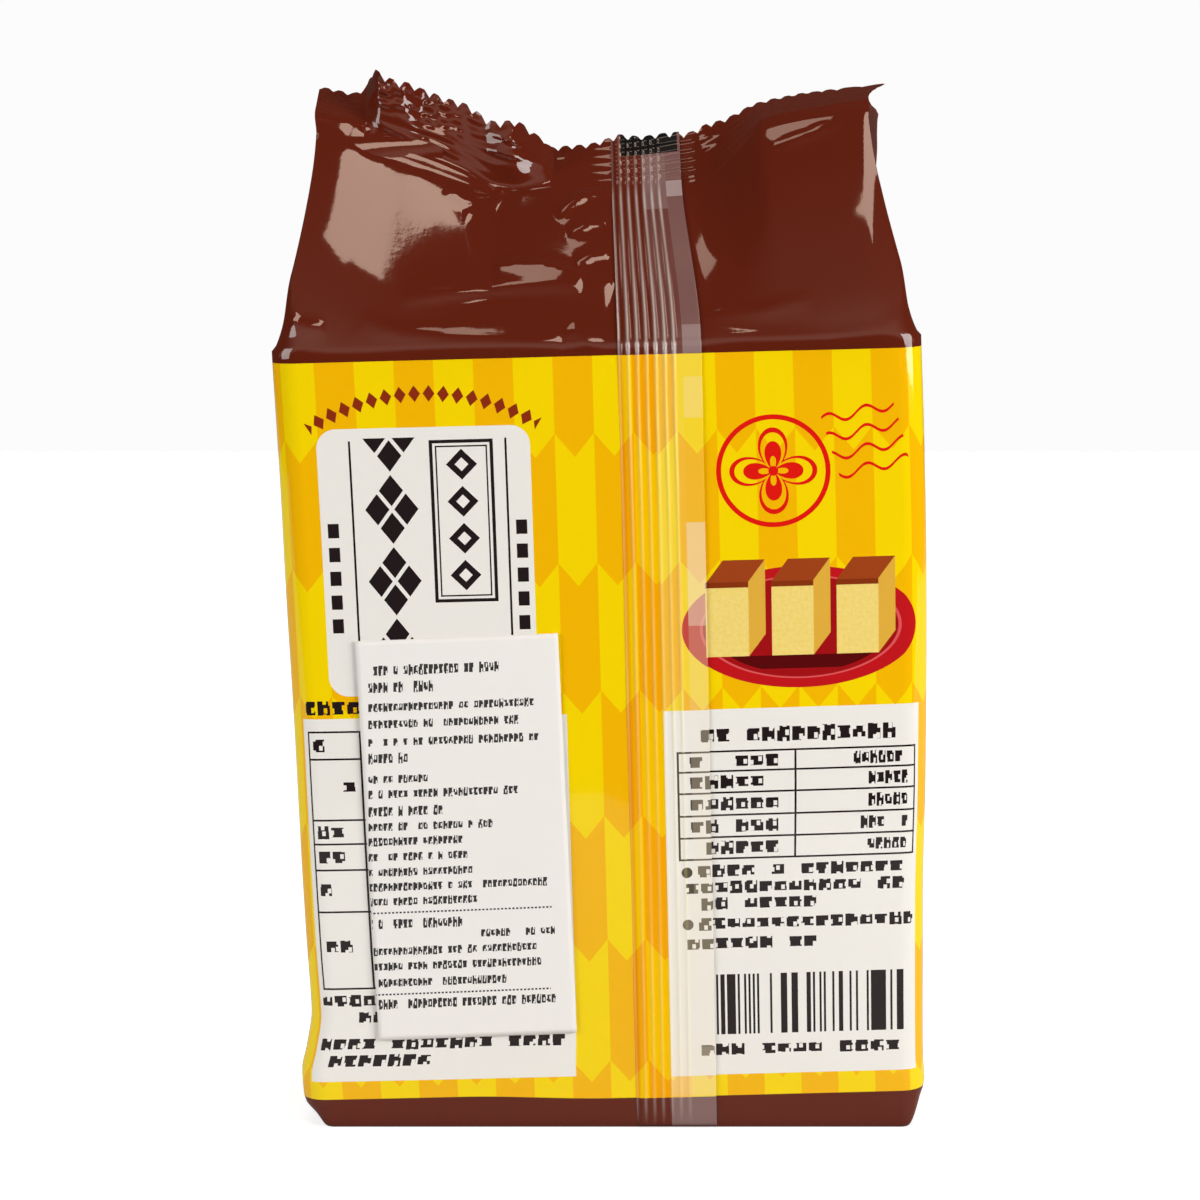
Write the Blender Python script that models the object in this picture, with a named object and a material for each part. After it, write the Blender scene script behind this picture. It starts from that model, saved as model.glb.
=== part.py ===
"""A shut film pack of castella sponge cake, standing upright on its folded end.

The pack is a printed flow wrap round a block of cake. Above the block the film closes
like a gable with tucked sides, up to a crimped and toothed seal that handling has bent
back at both ends and pleated left of the middle. The lengthwise fin seal lies folded
over on the back of the pack, which faces -Y, and a paper label is stuck beside it.

Sizes are in millimetres and become metres where each mesh is made.
"""
import math

import bpy
import numpy as np

MM = 0.001

# Driving dimensions: the wrapped block
PACK_WIDTH = 104.0
PACK_DEPTH = 52.0
BLOCK_HEIGHT = 131.0
CORNER_RADIUS = 4.0
PANEL_BULGE = 0.9
LEAN_ANGLE = math.radians(1.5)
LEAN_START = 5.0
FLAT_HALF = 0.5 * PACK_WIDTH - CORNER_RADIUS

# Driving dimensions: the foot
FOOT_INSET = 3.0
FOOT_HEIGHT = 3.5
FOOT_CHAMFER = 3.6
FOOT_CHAMFER_HEIGHT = 4.6
END_STRIP_WIDTH = 12.0
END_STRIP_LENGTH = 84.0
END_STRIP_SLOPE = 1.5
FOOT_RECESS = 0.4

# Driving dimensions: the top seal
SEAL_WIDTH = 92.0
SEAL_THICKNESS = 1.0
BAND_WIDTH = 10.8
TOOTH_DEPTH = 1.1
TOP_CORNER_RADIUS = 0.6
TAIL_LENGTH = 4.4
TUCK_DEPTH = 0.85
TUCK_CLOSES_FROM = 0.8
TAIL_FROM = 0.88

# Driving dimensions: the fin seal, left and right edge from the pack's middle
FIN_LEFT = 3.2
FIN_RIGHT = 16.2
FIN_STEP = 0.5
FIN_THICKNESS = 0.6
FIN_FADES_FROM = 0.85

# Driving dimensions: the stuck-on label
LABEL_WIDTH = 32.9
LABEL_HEIGHT = 67.6
LABEL_CENTRE_X = -23.5
LABEL_CENTRE_Z = 50.6
LABEL_TURN = math.radians(1.0)
LABEL_THICKNESS = 0.4
LABEL_GAP = 0.3

# Outline of each side of the block: (height, half width less half the pack width)
LEFT_SIDE = [(0.0, 0.3), (10.0, 0.9), (15.0, -0.2), (21.0, -1.2), (32.0, -0.9), (50.0, -0.6),
             (100.0, -0.1), (131.0, 0.4)]
RIGHT_SIDE = [(0.0, 0.1), (12.0, -0.5), (36.0, -0.4), (60.0, 0.3), (95.0, 0.6), (131.0, 0.0)]

# Half width of the gable at each height, and how much wider its front film stands at the right
GABLE_REACH = [(131.0, 52.2), (137.0, 50.6), (144.0, 48.9), (152.0, 47.4), (160.0, 46.4),
               (168.0, 46.0)]
FRONT_FLARE = 2.0
FLARE_RISE = (0.35, 0.8)
FLARE_FALL = (0.93, 1.0)

# Levels of the gable: corners tightened, corners starting to close, block's outline left behind
CORNER_TIGHT_BY = 0.3
CORNER_CLOSES_FROM = 0.9
OUTLINE_LEFT_BY = 0.4

# Lower line of the crimp: (distance from the middle, height), and how far it leans back
SEAL_LINE = [(-46.0, 168.6), (-41.4, 167.4), (-35.0, 164.4), (-27.4, 161.4), (-21.0, 158.6), (-16.0, 156.0),
             (-10.0, 155.4), (4.0, 155.4), (16.0, 155.8), (21.0, 158.2), (25.0, 162.2), (28.5, 165.4),
             (38.0, 167.2), (46.0, 168.2)]
BAND_TILT = [(-46.0, 68.0), (-41.0, 66.0), (-37.2, 52.0), (-35.4, 0.0), (-31.5, 2.0), (-28.0, 22.0),
             (-14.0, 12.0), (-10.0, 42.0), (-6.8, 54.0), (5.0, 47.0), (17.5, 42.0), (21.0, 50.0),
             (25.0, 64.0), (29.0, 76.0), (46.0, 76.0)]
PANEL_START_TILT = [(-46.0, 24.0), (0.0, 38.0), (46.0, 24.0)]
PANEL_END_TILT = [(-46.0, 40.0), (-16.0, 44.0), (0.0, 52.0), (18.0, 50.0), (46.0, 40.0)]
HIDDEN_TILT = 38.0

# The pleat: a flap of the crimp folded over to the right
PLEAT_ROOT = -21.0
PLEAT_TIP = -7.6
PLEAT_THICKNESS = 1.4
PLEAT_FULL_BEFORE_TIP = 4.0
PLEAT_EDGE = 1.0
PLEAT_CLIMB = 0.3

# Mesh density
PANEL_CELLS_LEFT = 13
PANEL_CELLS_FIN = 3
PANEL_CELLS_RIGHT = 8
CORNER_CELLS = 3
SIDE_CELLS = 6
CHAIN_CELLS = 2 * CORNER_CELLS + SIDE_CELLS
TEETH_PER_CELL = 3
BODY_HEIGHTS = (0.0, 0.7, 2.0, 3.5, 5.2, 9.0, 14.0, 21.0, 32.0, 48.0, 66.0, 84.0, 102.0, 118.0, 127.0,
                131.0)
TOP_LEVELS = (0.05, 0.12, 0.2, 0.3, 0.41, 0.52, 0.63, 0.74, 0.84, 0.92, 1.0)
BAND_LEVELS = (0.3, 0.62)
EVEN_COLUMNS_FROM = 0.7
LABEL_COLUMNS = 12
LABEL_ROWS = 22
SHARP_ANGLE = math.radians(40.0)

FILM_BROWN = (0.106, 0.013, 0.006, 1.0)
FILM_ROUGHNESS = 0.25
LABEL_WHITE = (0.80, 0.78, 0.74, 1.0)
PAPER_ROUGHNESS = 0.5


def ease(start, end, value):
    """Rise smoothly from 0 at start to 1 at end."""
    t = np.clip((value - start) / (end - start), 0.0, 1.0)
    return t * t * (3.0 - 2.0 * t)


def hermite(t, first, last, first_slope, last_slope):
    """Cubic from first to last with the given end slopes."""
    return ((2 * t**3 - 3 * t**2 + 1) * first + (t**3 - 2 * t**2 + t) * first_slope
            + (3 * t**2 - 2 * t**3) * last + (t**3 - t**2) * last_slope)


def through(stations, value):
    """Smooth curve through (place, height) stations that never overshoots them."""
    places, heights = np.array(stations, dtype=float).T
    rise = np.diff(heights) / np.diff(places)
    slopes = np.zeros_like(places)
    slopes[0] = rise[0]
    slopes[-1] = rise[-1]
    same_way = rise[:-1] * rise[1:] > 0.0
    total = np.where(same_way, rise[:-1] + rise[1:], 1.0)
    slopes[1:-1] = np.where(same_way, 2.0 * rise[:-1] * rise[1:] / total, 0.0)
    value = np.clip(value, places[0], places[-1])
    cell = np.clip(np.searchsorted(places, value, side="right") - 1, 0, len(places) - 2)
    span = places[cell + 1] - places[cell]
    t = (value - places[cell]) / span
    return hermite(t, heights[cell], heights[cell + 1], slopes[cell] * span, slopes[cell + 1] * span)


def side_reach(x_sign, z):
    """How far the left (-1) or right (+1) side stands from the middle at height z."""
    reach = 0.5 * PACK_WIDTH + through(LEFT_SIDE if x_sign < 0 else RIGHT_SIDE, z)
    return reach - FOOT_CHAMFER * max(0.0, 1.0 - z / FOOT_CHAMFER_HEIGHT)


def face_reach(z):
    """How far the back and front faces stand from the middle at height z, before they bulge."""
    rise = min(1.0, z / FOOT_HEIGHT)
    return 0.5 * PACK_DEPTH - FOOT_INSET * (1.0 - math.sqrt(max(0.0, 1.0 - (1.0 - rise) ** 2)))


def bulge(s, z):
    """Outward swell of a broad face; s runs from -1 to 1 across it."""
    return PANEL_BULGE * (1.0 - s * s) * math.sin(math.pi * min(1.0, max(0.0, z / BLOCK_HEIGHT)))


def fin_lift(x):
    """Thickness that the folded-over fin seal adds to the back face."""
    rise = float(ease(FIN_LEFT - FIN_STEP, FIN_LEFT, x))
    return FIN_THICKNESS * (rise - float(ease(FIN_RIGHT, FIN_RIGHT + FIN_STEP, x)))


def panel_places():
    """Column places across a broad face, from -1 to 1, with one each side of the fin's edges."""
    left = np.linspace(-FLAT_HALF, FIN_LEFT - FIN_STEP, PANEL_CELLS_LEFT + 1)
    fin = np.linspace(FIN_LEFT, FIN_RIGHT, PANEL_CELLS_FIN + 1)
    right = np.linspace(FIN_RIGHT + FIN_STEP, FLAT_HALF, PANEL_CELLS_RIGHT + 1)
    return np.concatenate((left, fin, right)) / FLAT_HALF


def chain_fractions():
    """Places round a side, from the back face (0) to the front face (1)."""
    return np.linspace(0.0, 1.0, CHAIN_CELLS + 1)


def rounded_side(fraction, radius, near_y, far_y):
    """Offset in from the side and y of a point on a side with two rounded corners."""
    corner = CORNER_CELLS / CHAIN_CELLS
    if fraction <= corner:
        angle = 0.5 * math.pi * fraction / corner
        return radius * (1.0 - math.sin(angle)), near_y + radius * (1.0 - math.cos(angle))
    if fraction >= 1.0 - corner:
        angle = 0.5 * math.pi * (1.0 - fraction) / corner
        return radius * (1.0 - math.sin(angle)), far_y - radius * (1.0 - math.cos(angle))
    straight = (fraction - corner) / (1.0 - 2.0 * corner)
    return 0.0, near_y + radius + straight * (far_y - near_y - 2.0 * radius)


def ring(panel_point, side_point, columns):
    """One closed loop of points: back face, right side, front face, left side."""
    sides = chain_fractions()
    loop = [panel_point(s, -1) for s in columns]
    loop += [side_point(f, 1) for f in sides[1:-1]]
    loop += [panel_point(s, 1) for s in columns[::-1]]
    loop += [side_point(f, -1) for f in sides[::-1][1:-1]]
    return loop


def body_ring(z, columns):
    """Loop round the block at height z."""
    radius = CORNER_RADIUS
    face = face_reach(z)

    def panel_point(s, y_sign):
        x_sign = -1 if s < 0 else 1
        x = s * (side_reach(x_sign, z) - radius)
        lift = fin_lift(x) * float(ease(0.0, FOOT_HEIGHT, z)) if y_sign < 0 else 0.0
        return (x, y_sign * (face + bulge(s, z) + lift), z)

    def side_point(fraction, x_sign):
        inset, y = rounded_side(fraction, radius, -face, face)
        return (x_sign * (side_reach(x_sign, z) - inset), y, z)

    return ring(panel_point, side_point, columns)


def seal_point(x, y_sign):
    """Point on the crimp's lower line, on its back (-1) or front (+1) film."""
    return np.array((x, 0.5 * y_sign * SEAL_THICKNESS, float(through(SEAL_LINE, x))))


def gable_ring(t, columns):
    """Loop at level t of the gable, from the block's top edge (0) to the crimp (1)."""
    spread = 0.5 * SEAL_WIDTH
    radius = CORNER_RADIUS + (TOP_CORNER_RADIUS - CORNER_RADIUS) * float(ease(0.0, CORNER_TIGHT_BY, t))
    radius *= 1.0 - float(ease(CORNER_CLOSES_FROM, 1.0, t))
    height = BLOCK_HEIGHT + t * (seal_point(spread, 1)[2] - BLOCK_HEIGHT)
    flare = FRONT_FLARE * float(ease(*FLARE_RISE, t) * (1.0 - ease(*FLARE_FALL, t)))

    def reach(x_sign, y_share):
        start = side_reach(x_sign, BLOCK_HEIGHT) - GABLE_REACH[0][1]
        wider = flare * y_share if x_sign > 0 else 0.0
        outline = start * (1.0 - float(ease(0.0, OUTLINE_LEFT_BY, t)))
        return float(through(GABLE_REACH, height)) + outline + wider

    def panel_point(s, y_sign):
        x_sign = -1 if s < 0 else 1
        x = s * (reach(x_sign, 0.5 * (1 + y_sign)) - radius)
        low = np.array((y_sign * (0.5 * PACK_DEPTH), BLOCK_HEIGHT))
        high = seal_point(s * spread, y_sign)[1:]
        span = float(np.linalg.norm(high - low))
        start_tilt = math.radians(float(through(PANEL_START_TILT, s * spread)))
        end_tilt = math.radians(float(through(PANEL_END_TILT, s * spread)) if y_sign < 0 else HIDDEN_TILT)
        first = span * np.array((-y_sign * math.sin(start_tilt), math.cos(start_tilt)))
        last = span * np.array((-y_sign * math.sin(end_tilt), math.cos(end_tilt)))
        y, z = hermite(t, low, high, first, last)
        lift = fin_lift(x) * (1.0 - float(ease(FIN_FADES_FROM, 1.0, t))) if y_sign < 0 else 0.0
        return (x, y - lift, z)

    def side_point(fraction, x_sign):
        near = panel_point(x_sign, -1)
        far = panel_point(x_sign, 1)
        if t >= 1.0:
            return near if fraction < 0.5 else far
        inset, y = rounded_side(fraction, radius, near[1], far[1])
        open_depth = far[1] - near[1]
        tuck = TUCK_DEPTH * math.sqrt(max(0.0, (0.5 * PACK_DEPTH) ** 2 - (0.5 * open_depth) ** 2))
        tuck *= 1.0 - float(ease(TUCK_CLOSES_FROM, 1.0, t))
        across = (y - near[1]) / open_depth
        fold = 1.0 - abs(2.0 * across - 1.0)
        return (x_sign * (reach(x_sign, across) - inset - tuck * fold), y, near[2])

    return ring(panel_point, side_point, columns)


def band_point(s, climb, y_sign):
    """Point on the crimp; climb runs from 0 at its lower line to 1 at its cut edge."""
    x = 0.5 * SEAL_WIDTH * s
    tilt = math.radians(float(through(BAND_TILT, x)))
    base = seal_point(x, 0)
    along = np.array((0.0, math.sin(tilt), math.cos(tilt)))
    out = np.array((0.0, math.cos(tilt), -math.sin(tilt)))
    thick = 0.5 * SEAL_THICKNESS
    if y_sign < 0:
        rise = float(ease(PLEAT_ROOT, PLEAT_TIP - PLEAT_FULL_BEFORE_TIP, x))
        fall = float(ease(PLEAT_TIP - PLEAT_EDGE, PLEAT_TIP + PLEAT_EDGE, x))
        thick += PLEAT_THICKNESS * rise * (1.0 - fall) * float(ease(0.0, PLEAT_CLIMB, climb))
    tail = TAIL_LENGTH * float(ease(TAIL_FROM, 1.0, s)) * climb**2
    point = base + BAND_WIDTH * climb * along + y_sign * thick * out
    return (point[0] + tail, point[1], point[2])


def band_ring(climb, columns):
    """Loop round the crimp at one climb, with each end closed to a single edge."""
    return ring(lambda s, y_sign: band_point(s, climb, y_sign),
                lambda f, x_sign: band_point(x_sign, climb, -1 if f < 0.5 else 1), columns)


def toothed_edge(cells):
    """Back and front lines of the cut edge, as points across the crimp."""
    lines = {}
    for y_sign in (-1, 1):
        lines[y_sign] = []
        for j in range(cells + 1):
            s = -1.0 + 2.0 * j / cells
            notch = TOOTH_DEPTH / BAND_WIDTH if j % 2 == 0 else 0.0
            lines[y_sign].append(band_point(s, 1.0 - notch, y_sign))
    return lines


def lean(point):
    """Tip the pack about its foot, leaving the foot itself flat on the ground."""
    x, y, z = point
    share = float(ease(0.0, LEAN_START, z))
    angle = LEAN_ANGLE * share
    leaned_z = z * math.cos(angle) + x * math.sin(angle) * share
    return (x * math.cos(angle) - z * math.sin(LEAN_ANGLE), y, leaned_z)


class Shell:
    """Faces gathered over shared points, which then become one mesh."""

    def __init__(self):
        self.places = {}
        self.points = []
        self.faces = []

    def index(self, point):
        key = tuple(round(float(v), 4) for v in point)
        if key not in self.places:
            self.places[key] = len(self.points)
            self.points.append(point)
        return self.places[key]

    def triangle(self, *corners):
        found = [self.index(c) for c in corners]
        if len(set(found)) == 3:
            self.faces.append(found)

    def quad(self, a, b, c, d, other_way=False):
        if other_way:
            self.triangle(a, b, d)
            self.triangle(b, c, d)
        else:
            self.triangle(a, b, c)
            self.triangle(a, c, d)

    def build(self, name, colour, roughness):
        mesh = bpy.data.meshes.new(name)
        mesh.from_pydata([[v * MM for v in lean(p)] for p in self.points], [], self.faces)
        mesh.update()
        obj = bpy.data.objects.new(name, mesh)
        bpy.context.scene.collection.objects.link(obj)
        material = bpy.data.materials.new(name)
        material.use_nodes = True
        shader = material.node_tree.nodes["Principled BSDF"]
        shader.inputs["Base Color"].default_value = colour
        shader.inputs["Roughness"].default_value = roughness
        mesh.materials.append(material)
        mesh.shade_smooth()
        mesh.set_sharp_from_angle(angle=SHARP_ANGLE)


def loft(shell, rings, panel_cells):
    """Join each ring to the next; both films of a thin stretch get matching triangles."""
    hidden = range(panel_cells + CHAIN_CELLS, 2 * panel_cells + CHAIN_CELLS)
    for low, high in zip(rings[:-1], rings[1:]):
        for i in range(len(low)):
            j = (i + 1) % len(low)
            shell.quad(low[i], low[j], high[j], high[i], other_way=i in hidden)


def foot_height(x, y):
    """Height of the underside: flat rim and folded end strip, slightly hollow between them."""
    past_width = float(ease(0.0, END_STRIP_SLOPE, abs(y) - 0.5 * END_STRIP_WIDTH))
    past_length = float(ease(0.0, END_STRIP_SLOPE, abs(x) - 0.5 * END_STRIP_LENGTH))
    return FOOT_RECESS * (1.0 - (1.0 - past_width) * (1.0 - past_length))


def close_foot(shell, loop, panel_cells):
    """Fill the underside with a grid whose edge is the lowest ring."""
    back = loop[:panel_cells + 1]
    right = loop[panel_cells:panel_cells + CHAIN_CELLS + 1]
    front = loop[panel_cells + CHAIN_CELLS:2 * panel_cells + CHAIN_CELLS + 1][::-1]
    left = (loop[2 * panel_cells + CHAIN_CELLS:] + loop[:1])[::-1]
    grid = []
    for i in range(panel_cells + 1):
        column = []
        for k in range(CHAIN_CELLS + 1):
            u = i / panel_cells
            v = k / CHAIN_CELLS
            across = np.array(back[i]) * (1 - v) + np.array(front[i]) * v
            along = np.array(left[k]) * (1 - u) + np.array(right[k]) * u
            corners = ((1 - u) * (1 - v) * np.array(back[0]) + u * (1 - v) * np.array(back[-1])
                       + (1 - u) * v * np.array(front[0]) + u * v * np.array(front[-1]))
            x, y, _ = across + along - corners
            inner = 1 < i < panel_cells - 1 and 1 < k < CHAIN_CELLS - 1
            column.append((x, y, foot_height(x, y) if inner else 0.0))
        grid.append(column)
    for k, point in enumerate(left):
        grid[0][k] = point
        grid[-1][k] = right[k]
    for i, point in enumerate(back):
        grid[i][0] = point
        grid[i][-1] = front[i]
    for i in range(panel_cells):
        for k in range(CHAIN_CELLS):
            shell.quad(grid[i][k], grid[i][k + 1], grid[i + 1][k + 1], grid[i + 1][k])


def cap_teeth(shell, loop, panel_cells):
    """Join the last plain ring of the crimp to its toothed edge and close that edge."""
    edge = toothed_edge(panel_cells * TEETH_PER_CELL)
    back = loop[:panel_cells + 1]
    front = loop[panel_cells + CHAIN_CELLS:2 * panel_cells + CHAIN_CELLS + 1][::-1]
    for i in range(panel_cells):
        fine = edge[-1][TEETH_PER_CELL * i:TEETH_PER_CELL * (i + 1) + 1]
        shell.triangle(back[i], fine[1], fine[0])
        shell.quad(back[i], back[i + 1], fine[2], fine[1])
        shell.triangle(back[i + 1], fine[3], fine[2])
        fine = edge[1][TEETH_PER_CELL * i:TEETH_PER_CELL * (i + 1) + 1]
        shell.triangle(front[i], fine[0], fine[1])
        shell.quad(front[i], fine[1], fine[2], front[i + 1], other_way=True)
        shell.triangle(front[i + 1], fine[2], fine[3])
    for j in range(panel_cells * TEETH_PER_CELL):
        shell.quad(edge[-1][j], edge[-1][j + 1], edge[1][j + 1], edge[1][j])
    shell.quad(back[-1], front[-1], edge[1][-1], edge[-1][-1])
    shell.quad(front[0], back[0], edge[-1][0], edge[1][0])


def film_pack():
    """The film pack: block, gable, crimp and fin in one closed shell."""
    columns = panel_places()
    even = np.linspace(-1.0, 1.0, len(columns))
    panel_cells = len(columns) - 1
    rings = [body_ring(z, columns) for z in BODY_HEIGHTS]
    for t in TOP_LEVELS:
        share = float(ease(EVEN_COLUMNS_FROM, 1.0, t))
        rings.append(gable_ring(t, columns * (1.0 - share) + even * share))
    rings += [band_ring(climb, even) for climb in BAND_LEVELS]
    shell = Shell()
    loft(shell, rings, panel_cells)
    close_foot(shell, rings[0], panel_cells)
    cap_teeth(shell, rings[-1], panel_cells)
    shell.build("film_pack", FILM_BROWN, FILM_ROUGHNESS)


def back_face_y(x, z):
    """Y of the back film at a place on the block, clear of the fin."""
    return -(face_reach(z) + bulge(max(-1.0, min(1.0, x / FLAT_HALF)), z))


def paper_label():
    """The stuck-on label: a thin sheet that follows the back film."""
    cos_turn = math.cos(LABEL_TURN)
    sin_turn = math.sin(LABEL_TURN)

    def place(i, k, depth):
        u = LABEL_WIDTH * (i / LABEL_COLUMNS - 0.5)
        v = LABEL_HEIGHT * (k / LABEL_ROWS - 0.5)
        x = LABEL_CENTRE_X + u * cos_turn - v * sin_turn
        z = LABEL_CENTRE_Z + v * cos_turn + u * sin_turn
        return (x, back_face_y(x, z) - LABEL_GAP - depth, z)

    shell = Shell()
    for i in range(LABEL_COLUMNS):
        for k in range(LABEL_ROWS):
            outer = [place(i + a, k + b, LABEL_THICKNESS) for a, b in ((0, 0), (1, 0), (1, 1), (0, 1))]
            inner = [place(i + a, k + b, 0.0) for a, b in ((0, 0), (0, 1), (1, 1), (1, 0))]
            shell.quad(*outer)
            shell.quad(*inner)
    rim = [(i, 0) for i in range(LABEL_COLUMNS)]
    rim += [(LABEL_COLUMNS, k) for k in range(LABEL_ROWS)]
    rim += [(i, LABEL_ROWS) for i in range(LABEL_COLUMNS, 0, -1)]
    rim += [(0, k) for k in range(LABEL_ROWS, 0, -1)]
    for n, (i, k) in enumerate(rim):
        next_i, next_k = rim[(n + 1) % len(rim)]
        shell.quad(place(i, k, 0.0), place(next_i, next_k, 0.0), place(next_i, next_k, LABEL_THICKNESS),
                   place(i, k, LABEL_THICKNESS))
    shell.build("paper_label", LABEL_WHITE, PAPER_ROUGHNESS)


def main():
    for old in list(bpy.data.objects):
        bpy.data.objects.remove(old, do_unlink=True)
    film_pack()
    paper_label()


main()
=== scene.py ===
"""A shut film pack of castella sponge cake, seen from the side with the lengthwise seal.

The wrap, the ribbed seal and the paper label are built as fine meshes on the fixed frame.
Shapes are in millimetres in the pack's own upright frame and are tipped by its lean when a
mesh is made. The print is node-based and reads a UV map in millimetres of film: u runs
round the pack from the middle of the shown side, v runs up it.
"""
import math

import bmesh
import bpy
import numpy as np
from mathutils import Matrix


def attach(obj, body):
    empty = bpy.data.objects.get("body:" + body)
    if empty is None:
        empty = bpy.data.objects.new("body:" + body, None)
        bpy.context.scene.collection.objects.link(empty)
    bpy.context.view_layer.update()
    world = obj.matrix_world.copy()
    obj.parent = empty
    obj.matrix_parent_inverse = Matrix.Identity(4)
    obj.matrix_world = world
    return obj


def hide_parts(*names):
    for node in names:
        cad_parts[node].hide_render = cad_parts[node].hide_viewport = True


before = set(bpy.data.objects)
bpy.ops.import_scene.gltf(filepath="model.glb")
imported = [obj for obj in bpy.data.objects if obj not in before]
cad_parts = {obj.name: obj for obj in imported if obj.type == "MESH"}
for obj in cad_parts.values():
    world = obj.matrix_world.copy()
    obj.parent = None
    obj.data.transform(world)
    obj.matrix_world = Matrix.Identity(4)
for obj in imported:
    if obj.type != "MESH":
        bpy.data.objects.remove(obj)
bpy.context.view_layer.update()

MM = 0.001
FULL_TURN = 2.0 * math.pi
VECTOR_MATH = "ShaderNodeVectorMath"
SEED = 41
MERGE_DISTANCE = 0.02
SHARP_ANGLE = math.radians(55.0)

# The wrapped block
PACK_WIDTH = 104.0
PACK_DEPTH = 52.0
HALF_WIDTH = 0.5 * PACK_WIDTH
HALF_DEPTH = 0.5 * PACK_DEPTH
BLOCK_HEIGHT = 131.0
CORNER_RADIUS = 4.0
FLAT_HALF = HALF_WIDTH - CORNER_RADIUS
PANEL_BULGE = 0.9
LEAN_ANGLE = math.radians(1.5)
LEAN_START = 5.0
FOOT_INSET = 0.6
FOOT_HEIGHT = 1.6
FOOT_CHAMFER = 3.2
FOOT_CHAMFER_HEIGHT = 5.5
FOOT_CORNER_RADIUS = 1.5
FOOT_RECESS = 0.4
FOOT_RIM = 4.0
END_FOLD_WIDTH = 12.0
END_FOLD_LENGTH = 84.0
END_FOLD_ROWS = 36

# Outline of each side of the block: (height, half width less half the pack width)
LEFT_SIDE = [(0.0, 0.3), (10.0, 0.9), (15.0, -0.2), (21.0, -1.2), (32.0, -0.9), (50.0, -0.6),
             (100.0, -0.1), (131.0, 0.4)]
RIGHT_SIDE = [(0.0, 0.1), (12.0, -0.5), (36.0, -0.4), (60.0, 0.3), (95.0, 0.6), (131.0, 0.0)]

# The gable and the crimp, as stations across or up the pack
GABLE_REACH = [(131.0, 52.2), (137.0, 50.6), (144.0, 48.9), (152.0, 47.4), (160.0, 46.4), (168.0, 46.0)]
GABLE_FILM = 34.0
FRONT_FLARE = 2.0
SEAL_HALF = 46.0
BAND_WIDTH = 10.8
SEAL_THICKNESS = 0.36
TOP_CORNER_RADIUS = 0.6
TUCK_DEPTH = 0.85
SEAL_LINE = [(-46.0, 168.6), (-41.4, 167.4), (-35.0, 164.4), (-27.4, 161.4), (-21.0, 158.6),
             (-16.0, 156.0), (-10.0, 155.4), (4.0, 155.4), (16.0, 155.8), (21.0, 158.2), (25.0, 162.2),
             (28.5, 165.4), (38.0, 167.2), (46.0, 168.2)]
BAND_TILT = [(-46.0, 68.0), (-41.0, 66.0), (-38.2, 54.0), (-35.0, 0.0), (-31.5, 2.0), (-28.0, 22.0),
             (-14.0, 12.0), (-10.0, 42.0), (-6.8, 54.0), (5.0, 47.0), (17.5, 42.0), (21.0, 50.0),
             (25.0, 64.0), (29.0, 76.0), (46.0, 76.0)]
PANEL_START_TILT = [(-46.0, 24.0), (0.0, 38.0), (46.0, 24.0)]
PANEL_END_TILT = [(-46.0, 40.0), (-16.0, 44.0), (0.0, 52.0), (18.0, 50.0), (46.0, 40.0)]
HIDDEN_TILT = 38.0

# Shares of the gable's climb over which its corners, sides and flare change
CORNER_SHARPENS = (0.0, 0.3)
CORNER_CLOSES = (0.9, 1.0)
SIDE_SETTLES = (0.0, 0.4)
FLARE_GROWS = (0.35, 0.8)
FLARE_FADES = (0.93, 1.0)
TUCK_CLOSES = (0.8, 1.0)

# The pleat of the crimp, which lies over the shown side, and its right tail
PLEAT_ROOT = -21.0
PLEAT_TIP = -7.6
PLEAT_RUN = 4.0
PLEAT_EDGE = 1.0
PLEAT_THICKNESS = 1.3
PLEAT_RISE = (0.0, 0.3)
TAIL_LENGTH = 4.4
TAIL_GROWS = (0.88, 1.0)

# The crimp's teeth and embossed lines
TEETH = 39
TOOTH_DEPTH = 1.15
TOOTH_SHARPNESS = 2.4
TOOTH_FADE = 6
EDGE_FADE = 3
EDGE_WAVES = (2.3, 1.3, 4.1)
EDGE_WAVE_HEIGHT = 0.02
EMBOSS_PITCH = 2.0
EMBOSS_HEIGHT = 0.12
EMBOSS_DRIFT = 1.1
EMBOSS_DRIFT_LENGTH = 3.7
EMBOSS_RISE = (0.0, 0.12)
EMBOSS_SHARE = [(-46.0, 0.12), (-38.0, 0.2), (-34.0, 0.4), (-18.0, 0.4), (-14.0, 0.15), (2.0, 0.2),
                (4.0, 0.7), (16.0, 0.7), (18.0, 0.2), (30.0, 0.4), (46.0, 0.25)]

# Fine crumples of the crimp's standing part: (place across it, height), its waves and share of climb
BUMP_CRUMPLE = [(-37.5, 0.0), (-35.0, 0.2), (-27.0, 0.16), (-20.0, 0.07), (-8.0, 0.05), (-2.0, 0.0)]
BUMP_WAVES = ((2.3, 0.9), (-0.8, 1.7), (1.1, -2.6))
BUMP_RISE = (0.35, 0.6)

# Streaks pressed into the crimp, as (points across and up it, height, reach above, reach below)
BAND_STREAKS = [([(-38.0, 2.6), (-31.0, 1.2), (-25.0, 0.4)], 0.3, 0.9, 0.4),
                ([(-30.5, 3.3), (-22.7, 3.8)], 0.5, 1.8, 0.4),
                ([(-28.1, 2.0), (-22.4, 1.0)], 0.45, 1.3, 0.4),
                ([(-17.6, 8.4), (-9.5, 6.0)], 0.6, 2.0, 0.5),
                ([(-17.6, 5.6), (-7.4, 3.2)], 0.6, 2.0, 0.5)]

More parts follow.
